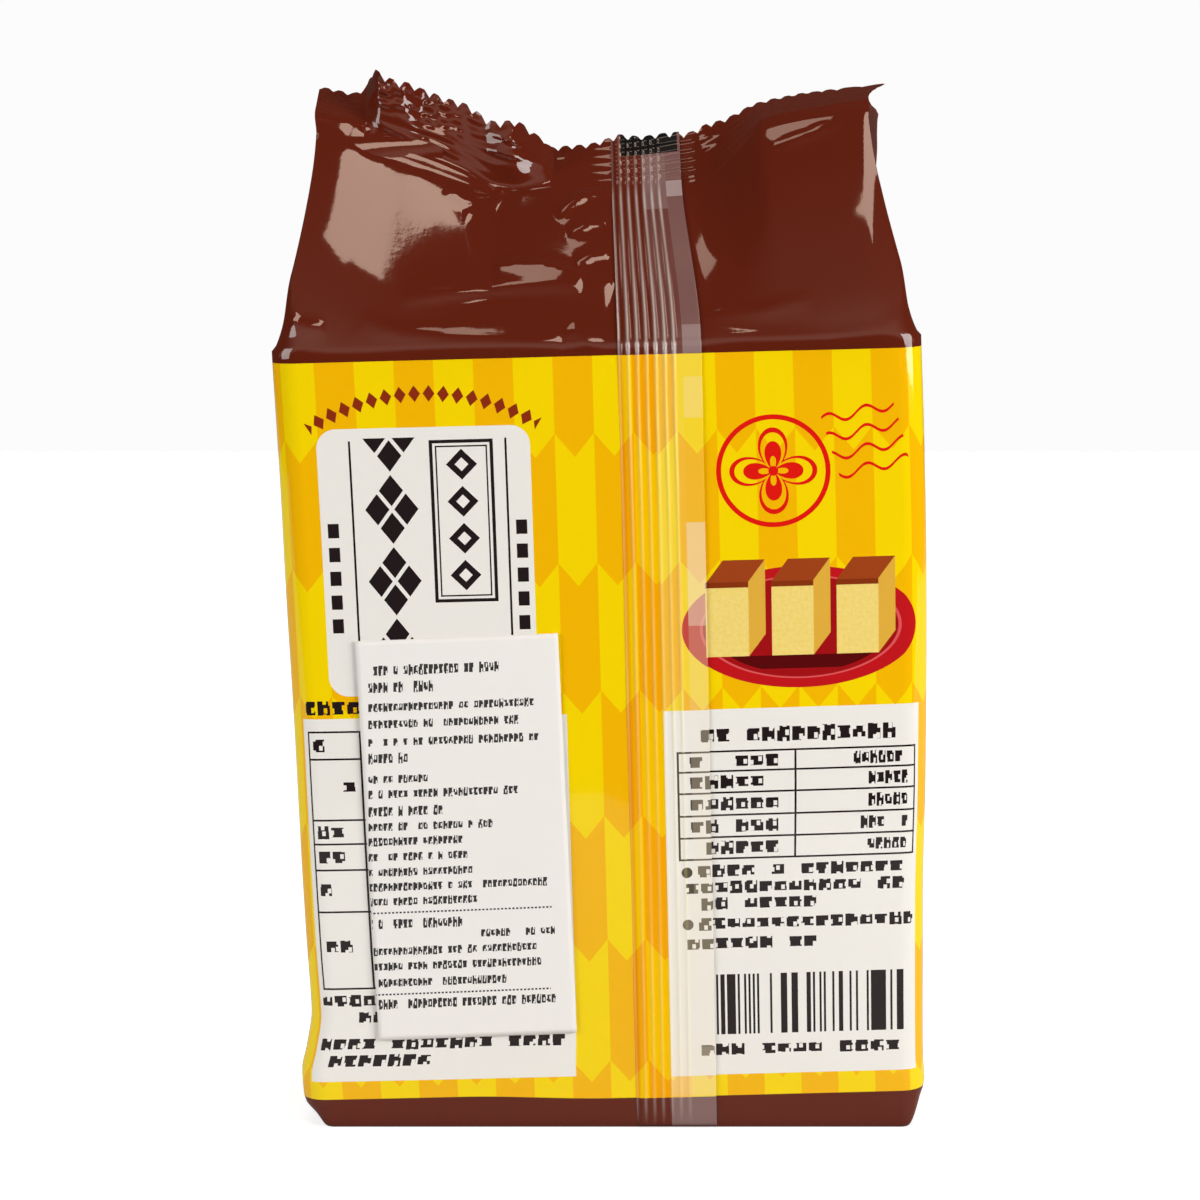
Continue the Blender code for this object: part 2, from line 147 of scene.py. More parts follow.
# Creases of the film on the shown side: (points, height, reach above, reach below)
CREASES = [
    ([(-50.4, 137.6), (-48.6, 135.6), (-46.6, 134.7), (-43.4, 134.5)], 0.7, 0.7, 1.6),
    ([(-37.4, 136.4), (-36.4, 135.4), (-34.1, 134.4), (-30.6, 133.5), (-23.5, 132.6), (-17.1, 132.3),
      (-9.8, 131.8), (-5.6, 132.3)], 0.55, 1.2, 2.4),
    ([(-5.6, 132.3), (-3.6, 133.2), (0.4, 130.4)], 0.4, 0.9, 1.4),
    ([(-16.6, 143.2), (-13.0, 143.6), (-9.0, 143.3), (-2.6, 141.6), (2.8, 140.0)], 0.7, 0.7, 3.4),
    ([(-31.5, 138.4), (-23.6, 139.2), (-14.0, 139.6), (-6.8, 139.7), (-2.4, 139.5)], 0.55, 2.2, 0.7),
    ([(17.0, 134.4), (20.0, 135.2), (26.2, 135.6), (34.3, 137.4)], 0.3, 0.8, 1.6),
    ([(17.0, 132.1), (25.9, 131.4), (37.0, 130.6), (45.0, 131.8), (50.0, 134.6)], 0.3, 1.2, 1.0),
    ([(-6.2, 150.6), (-4.0, 152.4), (-1.5, 153.7), (2.7, 154.6)], 0.6, 1.0, 1.0),
    ([(-4.4, 147.8), (-0.8, 149.3), (2.3, 149.9)], 0.5, 0.8, 0.8),
    ([(-3.4, 143.2), (-0.6, 144.4), (2.3, 144.8)], 0.45, 0.8, 0.8),
    ([(-43.5, 167.4), (-37.8, 165.2), (-34.2, 163.3), (-27.1, 161.0), (-20.5, 158.0),
      (-16.4, 155.6)], 0.5, 0.5, 0.9),
    ([(-40.0, 165.6), (-34.0, 162.6), (-26.0, 159.7), (-19.5, 156.8), (-16.0, 154.9)], 0.45, 0.5, 0.7),
    ([(-24.6, 155.6), (-21.5, 153.6), (-18.8, 153.4), (-16.4, 154.2), (-15.2, 154.9)], 0.3, 0.9, 0.6),
    ([(-21.5, 151.6), (-18.6, 151.9), (-16.4, 153.2), (-15.2, 154.6)], 0.3, 0.6, 0.9),
    ([(20.2, 156.6), (23.4, 159.6), (26.0, 163.6), (28.0, 166.4)], 0.5, 0.7, 0.8),
    ([(28.6, 160.8), (34.5, 162.4), (41.0, 164.6)], 0.35, 0.5, 0.9),
]
CREASE_FALL = 1.5

# Gentle waves of the film: (height, how many, length)
SLOW_WAVES = (0.05, 9, 34.0)
FINE_WAVES = (0.005, 9, 9.0)
CORNER_WAVES = (0.1, 9, 2.6)
CORNER_WAVES_ACROSS = (-44.0, -48.0)
CORNER_WAVES_END = (136.0, 140.0)

# The film swells a little toward the gable's side folds and rolls in under the crimp
GABLE_EDGE = (BLOCK_HEIGHT - 6.0, BLOCK_HEIGHT + 6.0)
LEFT_SWELL = 0.035
LEFT_SWELL_START = -40.0
RIGHT_SWELL = 0.75
RIGHT_SWELL_GROWS = (22.0, 44.0)
RIGHT_SWELL_FADES = (44.0, 50.0)
CRIMP_ROLL = 0.35
ROLL_CLIMB = (0.85, 0.95)
ROLL_ENDS = (-20.0, -14.0)
STILL_FOOT = (0.0, 4.0)
STILL_CLIMB = (0.95, 1.0)

# The lengthwise seal, from the pack's middle
FIN_LEFT = 3.2
FIN_RIGHT = 16.5
FIN_LIFT = 0.35
FIN_CELLS = 108
FIN_START = 0.5
FIN_CLEARANCE = 0.12
FIN_ROOT_RISE = 0.9
FIN_ROOT_SHARE = -0.1
FIN_NARROWS_LEFT = 0.2
FIN_NARROWS_RIGHT = 1.9
FIN_FILM = 0.12
# Share of pale paint on the rib crests: the milky gathered film plus a painted highlight along each crest
CREST_VEIL_AND_HIGHLIGHT = 0.5
FIRST_RIB = FIN_LEFT + 0.12
RIB_PITCH = 1.47
RIB_COUNT = 7
RIB_HEIGHT = 0.3
RIB_WIDTH = 0.24
RIB_SLACK = 0.5
RIB_PRESS = [(0.5, 0.0), (5.0, 0.35), (50.0, 0.4), (75.0, 0.55), (128.0, 0.6), (133.0, 1.0),
             (160.0, 1.0), (165.0, 0.3)]

# The label
LABEL_WIDTH = 32.9
LABEL_HEIGHT = 67.6
LABEL_CENTRE = (-23.5, 50.6)
LABEL_TURN = math.radians(1.0)
LABEL_LIFT = 0.5
LABEL_THICKNESS = 0.15
LABEL_CELLS = (40, 80)

# Mesh density
BACK_CELLS = 6 * TEETH
FRONT_CELLS = 2 * TEETH
CORNER_CELLS = 5
SIDE_CELLS = 18
SIDE_STEPS = 2 * CORNER_CELLS + SIDE_CELLS
FOOT_LEVELS = [0.0, 0.25, 0.6, 1.1, 1.7, 2.4, 3.2, 4.0, 5.0]
BODY_START = 6.2
BODY_STEP = 1.2
GABLE_CELLS = 44
BAND_CELLS = 36


def ease(start, end, value):
    """Rise smoothly from 0 at start to 1 at end."""
    t = np.clip((value - start) / (end - start), 0.0, 1.0)
    return t * t * (3.0 - 2.0 * t)


def hermite(t, first, last, first_slope, last_slope):
    """Cubic from first to last with the given end slopes."""
    return ((2 * t**3 - 3 * t**2 + 1) * first + (t**3 - 2 * t**2 + t) * first_slope
            + (3 * t**2 - 2 * t**3) * last + (t**3 - t**2) * last_slope)


def through(stations, value):
    """Smooth curve through (place, height) stations that never overshoots them."""
    places, heights = np.array(stations, dtype=float).T
    rise = np.diff(heights) / np.diff(places)
    slopes = np.zeros_like(places)
    slopes[0] = rise[0]
    slopes[-1] = rise[-1]
    same_way = rise[:-1] * rise[1:] > 0.0
    total = np.where(same_way, rise[:-1] + rise[1:], 1.0)
    slopes[1:-1] = np.where(same_way, 2.0 * rise[:-1] * rise[1:] / total, 0.0)
    value = np.clip(value, places[0], places[-1])
    cell = np.clip(np.searchsorted(places, value, side="right") - 1, 0, len(places) - 2)
    span = places[cell + 1] - places[cell]
    t = (value - places[cell]) / span
    return hermite(t, heights[cell], heights[cell + 1], slopes[cell] * span, slopes[cell + 1] * span)


def side_reach(x_sign, z):
    """How far the left (-1) or right (+1) side stands from the middle at height z."""
    left = HALF_WIDTH + through(LEFT_SIDE, z)
    right = HALF_WIDTH + through(RIGHT_SIDE, z)
    chamfer = FOOT_CHAMFER * max(0.0, 1.0 - z / FOOT_CHAMFER_HEIGHT)
    return np.where(np.asarray(x_sign) < 0, left, right) - chamfer


def face_reach(z):
    """How far the broad faces stand from the middle at height z, before they bulge."""
    rise = np.minimum(1.0, z / FOOT_HEIGHT)
    return HALF_DEPTH - FOOT_INSET * (1.0 - np.sqrt(np.maximum(0.0, 1.0 - (1.0 - rise) ** 2)))


def bulge(s, z):
    """Outward swell of a broad face; s runs from -1 to 1 across it."""
    return PANEL_BULGE * (1.0 - s * s) * np.sin(math.pi * np.clip(z / BLOCK_HEIGHT, 0.0, 1.0))


class BodyRow:
    """One level round the block."""

    def __init__(self, z):
        self.z = z
        self.length = z
        sharper = (CORNER_RADIUS - FOOT_CORNER_RADIUS) * (1.0 - float(ease(0.0, FOOT_CHAMFER_HEIGHT, z)))
        self.radius = CORNER_RADIUS - sharper

    def half(self, x_sign, y_share=0.0):
        return side_reach(x_sign, self.z)

    def panel(self, x, y_sign):
        s = x / (self.half(np.sign(x)) - self.radius)
        y = y_sign * (face_reach(self.z) + bulge(np.clip(s, -1.0, 1.0), self.z))
        return np.stack((x, y, np.full_like(x, self.z)), axis=-1)

    def tuck(self, depth):
        return 0.0


class GableRow:
    """One level of the gable, from the block's top edge (0) to the crimp (1)."""

    def __init__(self, t):
        self.t = t
        self.height = BLOCK_HEIGHT + t * (float(through(SEAL_LINE, SEAL_HALF)) - BLOCK_HEIGHT)
        self.length = BLOCK_HEIGHT + GABLE_FILM * t
        radius = CORNER_RADIUS + (TOP_CORNER_RADIUS - CORNER_RADIUS) * float(ease(*CORNER_SHARPENS, t))
        self.radius = radius * (1.0 - float(ease(*CORNER_CLOSES, t)))
        self.flare = FRONT_FLARE * float(ease(*FLARE_GROWS, t) * (1.0 - ease(*FLARE_FADES, t)))

    def half(self, x_sign, y_share=0.0):
        start = side_reach(x_sign, BLOCK_HEIGHT) - GABLE_REACH[0][1]
        wider = np.where(np.asarray(x_sign) > 0, self.flare * y_share, 0.0)
        return through(GABLE_REACH, self.height) + start * (1.0 - float(ease(*SIDE_SETTLES, self.t))) + wider

    def panel(self, x, y_sign):
        s = x / (self.half(np.sign(x), 0.5 * (1 + y_sign)) - self.radius)
        across = SEAL_HALF * np.clip(s, -1.0, 1.0)
        low_y = y_sign * HALF_DEPTH
        high_y = 0.5 * y_sign * SEAL_THICKNESS
        high_z = through(SEAL_LINE, across)
        span = np.hypot(high_y - low_y, high_z - BLOCK_HEIGHT)
        start = np.radians(through(PANEL_START_TILT, across))
        end = np.radians(through(PANEL_END_TILT, across) if y_sign < 0 else np.full_like(x, HIDDEN_TILT))
        y = hermite(self.t, low_y, high_y, -y_sign * span * np.sin(start), -y_sign * span * np.sin(end))
        z = hermite(self.t, BLOCK_HEIGHT, high_z, span * np.cos(start), span * np.cos(end))
        return np.stack((x, y, z), axis=-1)

    def tuck(self, depth):
        fold = TUCK_DEPTH * math.sqrt(max(0.0, HALF_DEPTH**2 - (0.5 * depth) ** 2))
        return fold * (1.0 - float(ease(*TUCK_CLOSES, self.t)))


class BandRow:
    """One level of the crimp, from its lower line (0) to its cut edge (1)."""

    def __init__(self, climb, uneven):
        self.climb = climb
        self.length = GableRow(1.0).length + BAND_WIDTH * climb
        self.radius = 0.0
        self.uneven = uneven

    def half(self, x_sign, y_share=0.0):
        return SEAL_HALF + 0.0 * np.asarray(x_sign)

    def panel(self, x, y_sign):
        tooth = (x / SEAL_HALF + 1.0) * 0.5 * TEETH
        notch = TOOTH_DEPTH / BAND_WIDTH * (0.5 + 0.5 * np.cos(FULL_TURN * tooth)) ** TOOTH_SHARPNESS
        climb = self.climb * (1.0 - notch * self.climb**TOOTH_FADE) + self.uneven(x) * self.climb**EDGE_FADE
        up = BAND_WIDTH * climb
        tilt = np.radians(through(BAND_TILT, x))
        lift = 0.5 * y_sign * SEAL_THICKNESS
        if y_sign < 0:
            flap = ease(PLEAT_ROOT, PLEAT_TIP - PLEAT_RUN, x)
            flap = flap * (1.0 - ease(PLEAT_TIP - PLEAT_EDGE, PLEAT_TIP + PLEAT_EDGE, x))
            lift = lift - PLEAT_THICKNESS * flap * ease(*PLEAT_RISE, climb)
        inside = ease(*EMBOSS_RISE, climb)
        phase = FULL_TURN * up / EMBOSS_PITCH + EMBOSS_DRIFT * np.sin(x / EMBOSS_DRIFT_LENGTH)
        lift = lift + EMBOSS_HEIGHT * through(EMBOSS_SHARE, x) * inside * np.sin(phase)
        lift = lift - crease_relief(BAND_STREAKS, x, up) * inside
        first, second, third = (np.sin(a * x + b * up) for a, b in BUMP_WAVES)
        lift = lift + through(BUMP_CRUMPLE, x) * (first * second + third) * ease(*BUMP_RISE, climb)
        y = up * np.sin(tilt) + lift * np.cos(tilt)
        z = through(SEAL_LINE, x) + up * np.cos(tilt) - lift * np.sin(tilt)
        tail = TAIL_LENGTH * ease(*TAIL_GROWS, x / SEAL_HALF) * climb**2
        return np.stack((x + tail, y, z), axis=-1)

    def tuck(self, depth):
        return 0.0


def rounded_side(row, fraction, x_sign):
    """Points round one side of a row, from the back face (0) to the front face (1)."""
    near = row.panel(np.array([x_sign * (float(row.half(x_sign)) - row.radius)]), -1)[0]
    far = row.panel(np.array([x_sign * (float(row.half(x_sign, 1.0)) - row.radius)]), 1)[0]
    if row.radius == 0.0:
        points = np.where(fraction[:, None] < 0.5, near, far)
        points[:, 2] = near[2]
        return points
    corner = CORNER_CELLS / SIDE_STEPS
    angle = 0.5 * math.pi * np.minimum(1.0, np.minimum(fraction, 1.0 - fraction) / corner)
    inset = row.radius * (1.0 - np.sin(angle))
    turn = row.radius * (1.0 - np.cos(angle))
    straight = np.clip((fraction - corner) / (1.0 - 2.0 * corner), 0.0, 1.0)
    y = near[1] + row.radius + straight * (far[1] - near[1] - 2.0 * row.radius)
    y = np.where(fraction < corner, near[1] + turn, y)
    y = np.where(fraction > 1.0 - corner, far[1] - turn, y)
    depth = far[1] - near[1]
    across = (y - near[1]) / depth
    fold = row.tuck(depth) * (1.0 - np.abs(2.0 * across - 1.0))
    half = np.array([float(row.half(x_sign, share)) for share in across])
    x = x_sign * (half - inset - fold)
    return np.stack((x, y, np.full_like(x, near[2])), axis=-1)


def row_points(row):
    """One closed loop: left side from the front, back face, right side, front face."""
    sides = np.linspace(0.0, 1.0, SIDE_STEPS + 1)
    back = np.linspace(-1.0, 1.0, BACK_CELLS + 1)
    front = np.linspace(-1.0, 1.0, FRONT_CELLS + 1)
    back_x = back * (row.half(back) - row.radius)
    front_x = front * (row.half(front, 1.0) - row.radius)
    loop = [rounded_side(row, sides[::-1], -1), row.panel(back_x, -1)[1:],
            rounded_side(row, sides[1:], 1), row.panel(front_x, 1)[::-1][1:-1]]
    return np.concatenate(loop)


def row_print_places():
    """Film coordinate u for each point of a row, with one more for the seam."""
    turn = 2.0 * CORNER_RADIUS
    corner = CORNER_CELLS / SIDE_STEPS
    side_u = np.interp(np.linspace(0.0, 1.0, SIDE_STEPS + 1), (0.0, corner, 1.0 - corner, 1.0),
                       (0.0, turn, PACK_DEPTH, PACK_DEPTH + turn))
    back_u = np.linspace(-FLAT_HALF, FLAT_HALF, BACK_CELLS + 1)
    front_u = side_u[-1] + FLAT_HALF + FLAT_HALF * (1.0 + np.linspace(-1.0, 1.0, FRONT_CELLS + 1))
    return np.concatenate((-FLAT_HALF - side_u[::-1], back_u[1:], FLAT_HALF + side_u[1:], front_u[1:]))


def lean(points):
    """Tip points about the foot, which itself stays flat on the ground."""
    x, y, z = np.moveaxis(points, -1, 0)
    share = ease(0.0, LEAN_START, z)
    angle = LEAN_ANGLE * share
    tipped_x = x * np.cos(angle) - z * math.sin(LEAN_ANGLE)
    tipped_z = z * np.cos(angle) + x * np.sin(angle) * share
    return np.stack((tipped_x, y, tipped_z), axis=-1)


def grid_normals(points):
    """Unit normal at each place of a grid of points, by differences along both ways."""
    across = np.gradient(points, axis=1)
    up = np.gradient(points, axis=0)
    normal = np.cross(across, up)
    size = np.linalg.norm(normal, axis=-1, keepdims=True)
    return normal / np.maximum(size, 1e-9)


def crease_relief(creases, x, z):
    """Height of all creases at film places x, z."""
    relief = np.zeros_like(x)
    for points, height, above, below in creases:
        points = np.array(points)
        lengths = np.linalg.norm(np.diff(points, axis=0), axis=1)
        nearest = np.full_like(x, np.inf)
        signed = np.zeros_like(x)
        along = np.zeros_like(x)
        run = 0.0
        for a, b, length in zip(points[:-1], points[1:], lengths):
            d = (b - a) / length
            t = np.clip((x - a[0]) * d[0] + (z - a[1]) * d[1], 0.0, length)
            off_x = x - a[0] - t * d[0]
            off_z = z - a[1] - t * d[1]
            gap = np.hypot(off_x, off_z)
            closer = gap < nearest
            nearest = np.where(closer, gap, nearest)
            signed = np.where(closer, np.sign(d[0] * off_z - d[1] * off_x), signed)
            along = np.where(closer, (run + t) / lengths.sum(), along)
            run += length
        reach = np.where(signed > 0, above, below)
        taper = np.sqrt(np.clip(4.0 * along * (1.0 - along), 0.0, 1.0))
        relief += height * taper * np.exp(-(nearest / reach) ** CREASE_FALL)
    return relief


def crumple(x, z, waves, rng):
    """Sum of gentle waves in random directions, from (height, how many, length)."""
    height, count, size = waves
    relief = np.zeros_like(x)
    for _ in range(count):
        angle = rng.uniform(0.0, math.pi)
        length = size * rng.uniform(0.6, 1.6)
        phase = rng.uniform(0.0, FULL_TURN)
        relief += np.sin(FULL_TURN * (x * math.cos(angle) + z * math.sin(angle)) / length + phase)
    return height * relief / math.sqrt(count)


def wrap_rows(rng):
    """All rows of the wrap, from the foot to the crimp's cut edge."""
    phases = rng.uniform(0.0, FULL_TURN, 6)

    def uneven(x):
        return EDGE_WAVE_HEIGHT * sum(np.sin(x / length + phase) for length, phase in zip(EDGE_WAVES, phases))

    body_cells = int(round((BLOCK_HEIGHT - BODY_START) / BODY_STEP))
    rows = [BodyRow(z) for z in FOOT_LEVELS + list(np.linspace(BODY_START, BLOCK_HEIGHT, body_cells + 1))]
    rows += [GableRow(t) for t in np.linspace(0.0, 1.0, GABLE_CELLS + 1)[1:]]
    rows += [BandRow(c, uneven) for c in np.linspace(0.0, 1.0, BAND_CELLS + 1)[1:]]
    return rows


def make_piece(name, points, faces, places, material):
    """One mesh piece from millimetre points, with the film places of each face corner."""
    mesh = bpy.data.meshes.new(name)
    mesh.from_pydata((lean(np.array(points)) * MM).tolist(), [], faces)
    layer = mesh.uv_layers.new(name="film")
    layer.data.foreach_set("uv", np.array(places, dtype=np.float32).ravel())
    work = bmesh.new()
    work.from_mesh(mesh)
    bmesh.ops.remove_doubles(work, verts=work.verts, dist=MERGE_DISTANCE * MM)
    bmesh.ops.dissolve_degenerate(work, edges=work.edges, dist=0.5 * MERGE_DISTANCE * MM)
    work.to_mesh(mesh)
    work.free()
    mesh.materials.append(material)
    mesh.shade_smooth()
    mesh.set_sharp_from_angle(angle=SHARP_ANGLE)
    piece = bpy.data.objects.new(name, mesh)
    bpy.context.scene.collection.objects.link(piece)
    return piece


def mount(piece):
    """Fix a finished piece to the pack."""
    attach(piece, "root")


def film_relief(points, lengths, rng):
    """How far each point of the wrap stands off its smooth form."""
    x, z = points[..., 0], points[..., 2]
    around = row_print_places()[:-1] + 0.0 * x
    relief = crumple(around, z, SLOW_WAVES, rng) + crumple(around, z, FINE_WAVES, rng)
    back = slice(SIDE_STEPS, SIDE_STEPS + BACK_CELLS + 1)
    back_x, back_z = x[:, back], z[:, back]
    shown = crease_relief(CREASES, back_x, back_z)
    gable = ease(*GABLE_EDGE, back_z)
    shown += LEFT_SWELL * gable * np.maximum(0.0, LEFT_SWELL_START - back_x)
    shown += RIGHT_SWELL * gable * ease(*RIGHT_SWELL_GROWS, back_x) * (1.0 - ease(*RIGHT_SWELL_FADES, back_x))
    corner = ease(*CORNER_WAVES_ACROSS, back_x) * gable * (1.0 - ease(*CORNER_WAVES_END, back_z))
    shown += corner * crumple(back_x, back_z, CORNER_WAVES, rng)
    roll = ease(*[GableRow(t).length for t in ROLL_CLIMB], lengths)
    shown -= CRIMP_ROLL * roll * (1.0 - ease(*ROLL_ENDS, back_x))
    relief[:, back] += shown
    still = ease(*[GableRow(t).length for t in STILL_CLIMB], lengths)
    return relief * ease(*STILL_FOOT, z) * (1.0 - still)


def crimp_edge(top, count):
    """Faces that close the crimp's cut edge, where three back cells meet each front cell."""
    faces = []
    for cell in range(FRONT_CELLS):
        end = 2 * SIDE_STEPS + BACK_CELLS + FRONT_CELLS - cell
        front_a = top + end % count
        front_b = top + (end - 1) % count
        first = top + SIDE_STEPS + 3 * cell
        faces += [(first, first + 1, front_a), (first + 1, first + 2, front_a),
                  (first + 2, first + 3, front_b), (first + 2, front_b, front_a)]
    return faces


def film_wrap(material):
    """The printed wrap: one closed shell with creases, crumples, crimp and teeth."""
    rng = np.random.default_rng(SEED)
    rows = wrap_rows(rng)
    lengths = np.array([row.length for row in rows])
    points = np.array([row_points(row) for row in rows])
    count = points.shape[1]
    closed = np.concatenate((points[:, -1:], points, points[:, :1]), axis=1)
    normals = grid_normals(closed)[:, 1:-1]
    points = points + normals * film_relief(points, lengths[:, None], rng)[..., None]
    points = points.reshape(-1, 3).tolist()

    faces = []
    for r in range(len(rows) - 1):
        for c in range(count):
            d = (c + 1) % count
            faces.append((r * count + c, r * count + d, (r + 1) * count + d, (r + 1) * count + c))
    u = row_print_places()
    u = np.stack((u[:-1], u[1:], u[1:], u[:-1]), axis=-1)[None]
    v = np.stack((lengths[:-1], lengths[:-1], lengths[1:], lengths[1:]), axis=-1)[:, None]
    places = np.stack(np.broadcast_arrays(u, v), axis=-1).reshape(-1, 2).tolist()

    edge_faces = crimp_edge((len(rows) - 1) * count, count)
    faces += edge_faces
    places += [(0.0, float(lengths[-1]))] * (3 * len(edge_faces))

    ring = 0
    for inset, height in ((FOOT_RIM, 0.0), (FOOT_RIM + 1.0, FOOT_RECESS)):
        start = len(points)
        share_x = 1.0 - inset / HALF_WIDTH
        share_y = 1.0 - inset / HALF_DEPTH
        points += [(x * share_x, y * share_y, height) for x, y, _ in points[:count]]
        for c in range(count):
            d = (c + 1) % count
            faces.append((ring + d, ring + c, start + c, start + d))
        places += [(0.0, 0.0)] * (4 * count)
        ring = start
    faces.append(tuple(range(ring + count - 1, ring - 1, -1)))
    places += [(0.0, 0.0)] * count
    piece = make_piece("film_wrap", points, faces, places, material)
    mount(piece)
    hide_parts("film_pack")


def end_fold(material):
    """The lower crimp, folded flat under the pack."""
    across = np.linspace(-0.5, 0.5, 8 * TEETH + 1) * END_FOLD_LENGTH
    share = np.linspace(0.0, 1.0, END_FOLD_ROWS + 1)[:, None]
    tooth = 0.5 + 0.5 * np.cos(FULL_TURN * across / END_FOLD_LENGTH * TEETH)
    y = END_FOLD_WIDTH * (share - 0.5) - TOOTH_DEPTH * tooth * share**TOOTH_FADE
    emboss = np.cos(FULL_TURN * END_FOLD_WIDTH * share / EMBOSS_PITCH)
    z = 0.5 * (FOOT_RECESS - EMBOSS_HEIGHT * (1.0 + emboss))
    x, y, z = np.broadcast_arrays(across, y, z)
    faces = [face[::-1] for face in sheet_faces(*x.shape)]
    points = np.stack((x, y, z), axis=-1).reshape(-1, 3).tolist()
    places = np.stack((x, 0.0 * x), axis=-1).reshape(-1, 2).tolist()
    mount(make_piece("end_fold", points, faces, corner_places(faces, places), material))


def sheet_faces(rows, columns):
    """Faces of a grid of points."""
    return [(r * columns + c, r * columns + c + 1, (r + 1) * columns + c + 1, (r + 1) * columns + c)
            for r in range(rows - 1) for c in range(columns - 1)]


def corner_places(faces, places):
    """Film place of each face corner from the place of each point."""
    return [places[i] for face in faces for i in face]


def add(tree, kind, inputs=(), **settings):
    """Add one node, or a Math node where kind is an operation in capitals.

    Inputs are values, nodes or sockets by place or by name.
    """
    node = tree.nodes.new("ShaderNodeMath" if kind.isupper() else kind)
    if kind.isupper():
        node.operation = kind
    for name, value in settings.items():
        setattr(node, name, value)
    pairs = inputs.items() if isinstance(inputs, dict) else enumerate(inputs)
    for place, value in pairs:
        if isinstance(value, bpy.types.Node):
            value = next(out for out in value.outputs if out.enabled)
        if isinstance(value, bpy.types.NodeSocket):
            tree.links.new(value, node.inputs[place])
        elif value is not None:
            node.inputs[place].default_value = value
    return node


def linear(hex_colour):
    """Linear colour of an sRGB hex value such as f8be00."""
    parts = [int(hex_colour[i:i + 2], 16) / 255.0 for i in (0, 2, 4)]
    return tuple(p / 12.92 if p <= 0.04045 else ((p + 0.055) / 1.055) ** 2.4 for p in parts) + (1.0,)


def band(tree, value, low, high):
    """1 where value lies from low to high."""
    return add(tree, "COMPARE", (value, 0.5 * (low + high), 0.5 * (high - low)))


def both(tree, *masks):
    """1 where every mask is 1."""
    total = masks[0]
    for mask in masks[1:]:
        total = add(tree, "MULTIPLY", (total, mask))
    return total


def either(tree, *masks):
    """1 where one of the masks is 1."""
    total = masks[0]
    for mask in masks[1:]:
        total = add(tree, "MAXIMUM", (total, mask))
    return total


def without(tree, mask, hole):
    """A mask less another."""
    return add(tree, "SUBTRACT", (mask, hole), use_clamp=True)


def shifted(tree, value, amount):
    """A value less an amount."""
    return add(tree, "SUBTRACT", (value, amount))


def step_place(tree, value, start, pitch):
    """Number of pitches from start; its fraction says where in the pitch."""
    return add(tree, "MULTIPLY_ADD", (value, 1.0 / pitch, -start / pitch))


def fraction(tree, value):
    """Part of a value past the whole number below it."""
    return add(tree, "FRACT", (value,))


def whole(tree, value):
    """Whole number at or below a value."""
    return add(tree, "FLOOR", (value,))


def in_repeat(tree, value, start, pitch):
    """Place within each repeat of a pattern, from the repeat's middle."""
    part = fraction(tree, step_place(tree, value, start, pitch))
    return add(tree, "MULTIPLY_ADD", (part, pitch, -0.5 * pitch))


def distance(tree, across, up):
    """Distance of a place from across = 0, up = 0."""
    flat = add(tree, "ShaderNodeCombineXYZ", (across, up))
    return add(tree, VECTOR_MATH, (flat,), operation="LENGTH").outputs["Value"]


def rectangle(tree, place, left, low, right, high):
    """Mask of an upright rectangle."""
    return both(tree, band(tree, place[0], left, right), band(tree, place[1], low, high))


def rim(tree, place, outline, width):
    """Mask of an upright frame inside an outline."""
    left, low, right, high = outline
    inner = rectangle(tree, place, left + width, low + width, right - width, high - width)
    return without(tree, rectangle(tree, place, *outline), inner)


def lozenge(tree, across, up, half_width, half_height):
    """Mask of an upright diamond about across = 0, up = 0."""
    a = add(tree, "ABSOLUTE", (across,))
    b = add(tree, "ABSOLUTE", (up,))
    a = add(tree, "MULTIPLY", (a, 1.0 / half_width))
    total = add(tree, "MULTIPLY_ADD", (b, 1.0 / half_height, a))
    return add(tree, "LESS_THAN", (total, 1.0))


def rounded_panel(tree, place, outline, radius):
    """Mask of an upright rectangle with round corners."""
    left, low, right, high = outline
    parts = []
    for value, start, end in ((place[0], left, right), (place[1], low, high)):
        away = add(tree, "ABSOLUTE", (shifted(tree, value, 0.5 * (start + end)),))
        past = shifted(tree, away, 0.5 * (end - start) - radius)
        parts.append(add(tree, "MAXIMUM", (past, 0.0)))
    return add(tree, "LESS_THAN", (distance(tree, *parts), radius))


def paint(tree, under, mask, colour):
    """Lay a colour over another where the mask is 1."""
    over = linear(colour) if isinstance(colour, str) else colour
    return add(tree, "ShaderNodeMix", {0: mask, 6: under, 7: over}, data_type="RGBA")


def ramp_of(tree, value, stops, interpolation="CONSTANT"):
    """Colour ramp with the given (place, colour) stops."""
    node = add(tree, "ShaderNodeValToRGB", (value,))
    node.color_ramp.interpolation = interpolation
    elements = node.color_ramp.elements
    for i, (place, colour) in enumerate(stops):
        stop = elements[i] if i < 2 else elements.new(place)
        stop.position = place
        stop.color = colour
    if len(stops) == 1:
        elements.remove(elements[1])
    return node


# Rows of marks: room past the outer rows, span a row's ends may take, share of gaps between words,
# a mark's width in its cell, its half height as random share and least, and the holes in it
ROW_MARGIN = 4.0
ROW_SCALE = 240.0
GAP_SHARE = 0.14
LETTER_SHARE = 0.84
LETTER_HEIGHTS = (0.16, 0.34)
HOLE_WIDTH = 0.24
HOLE_HEIGHT = 0.34
HOLE_DRIFT = (0.7, 0.9)


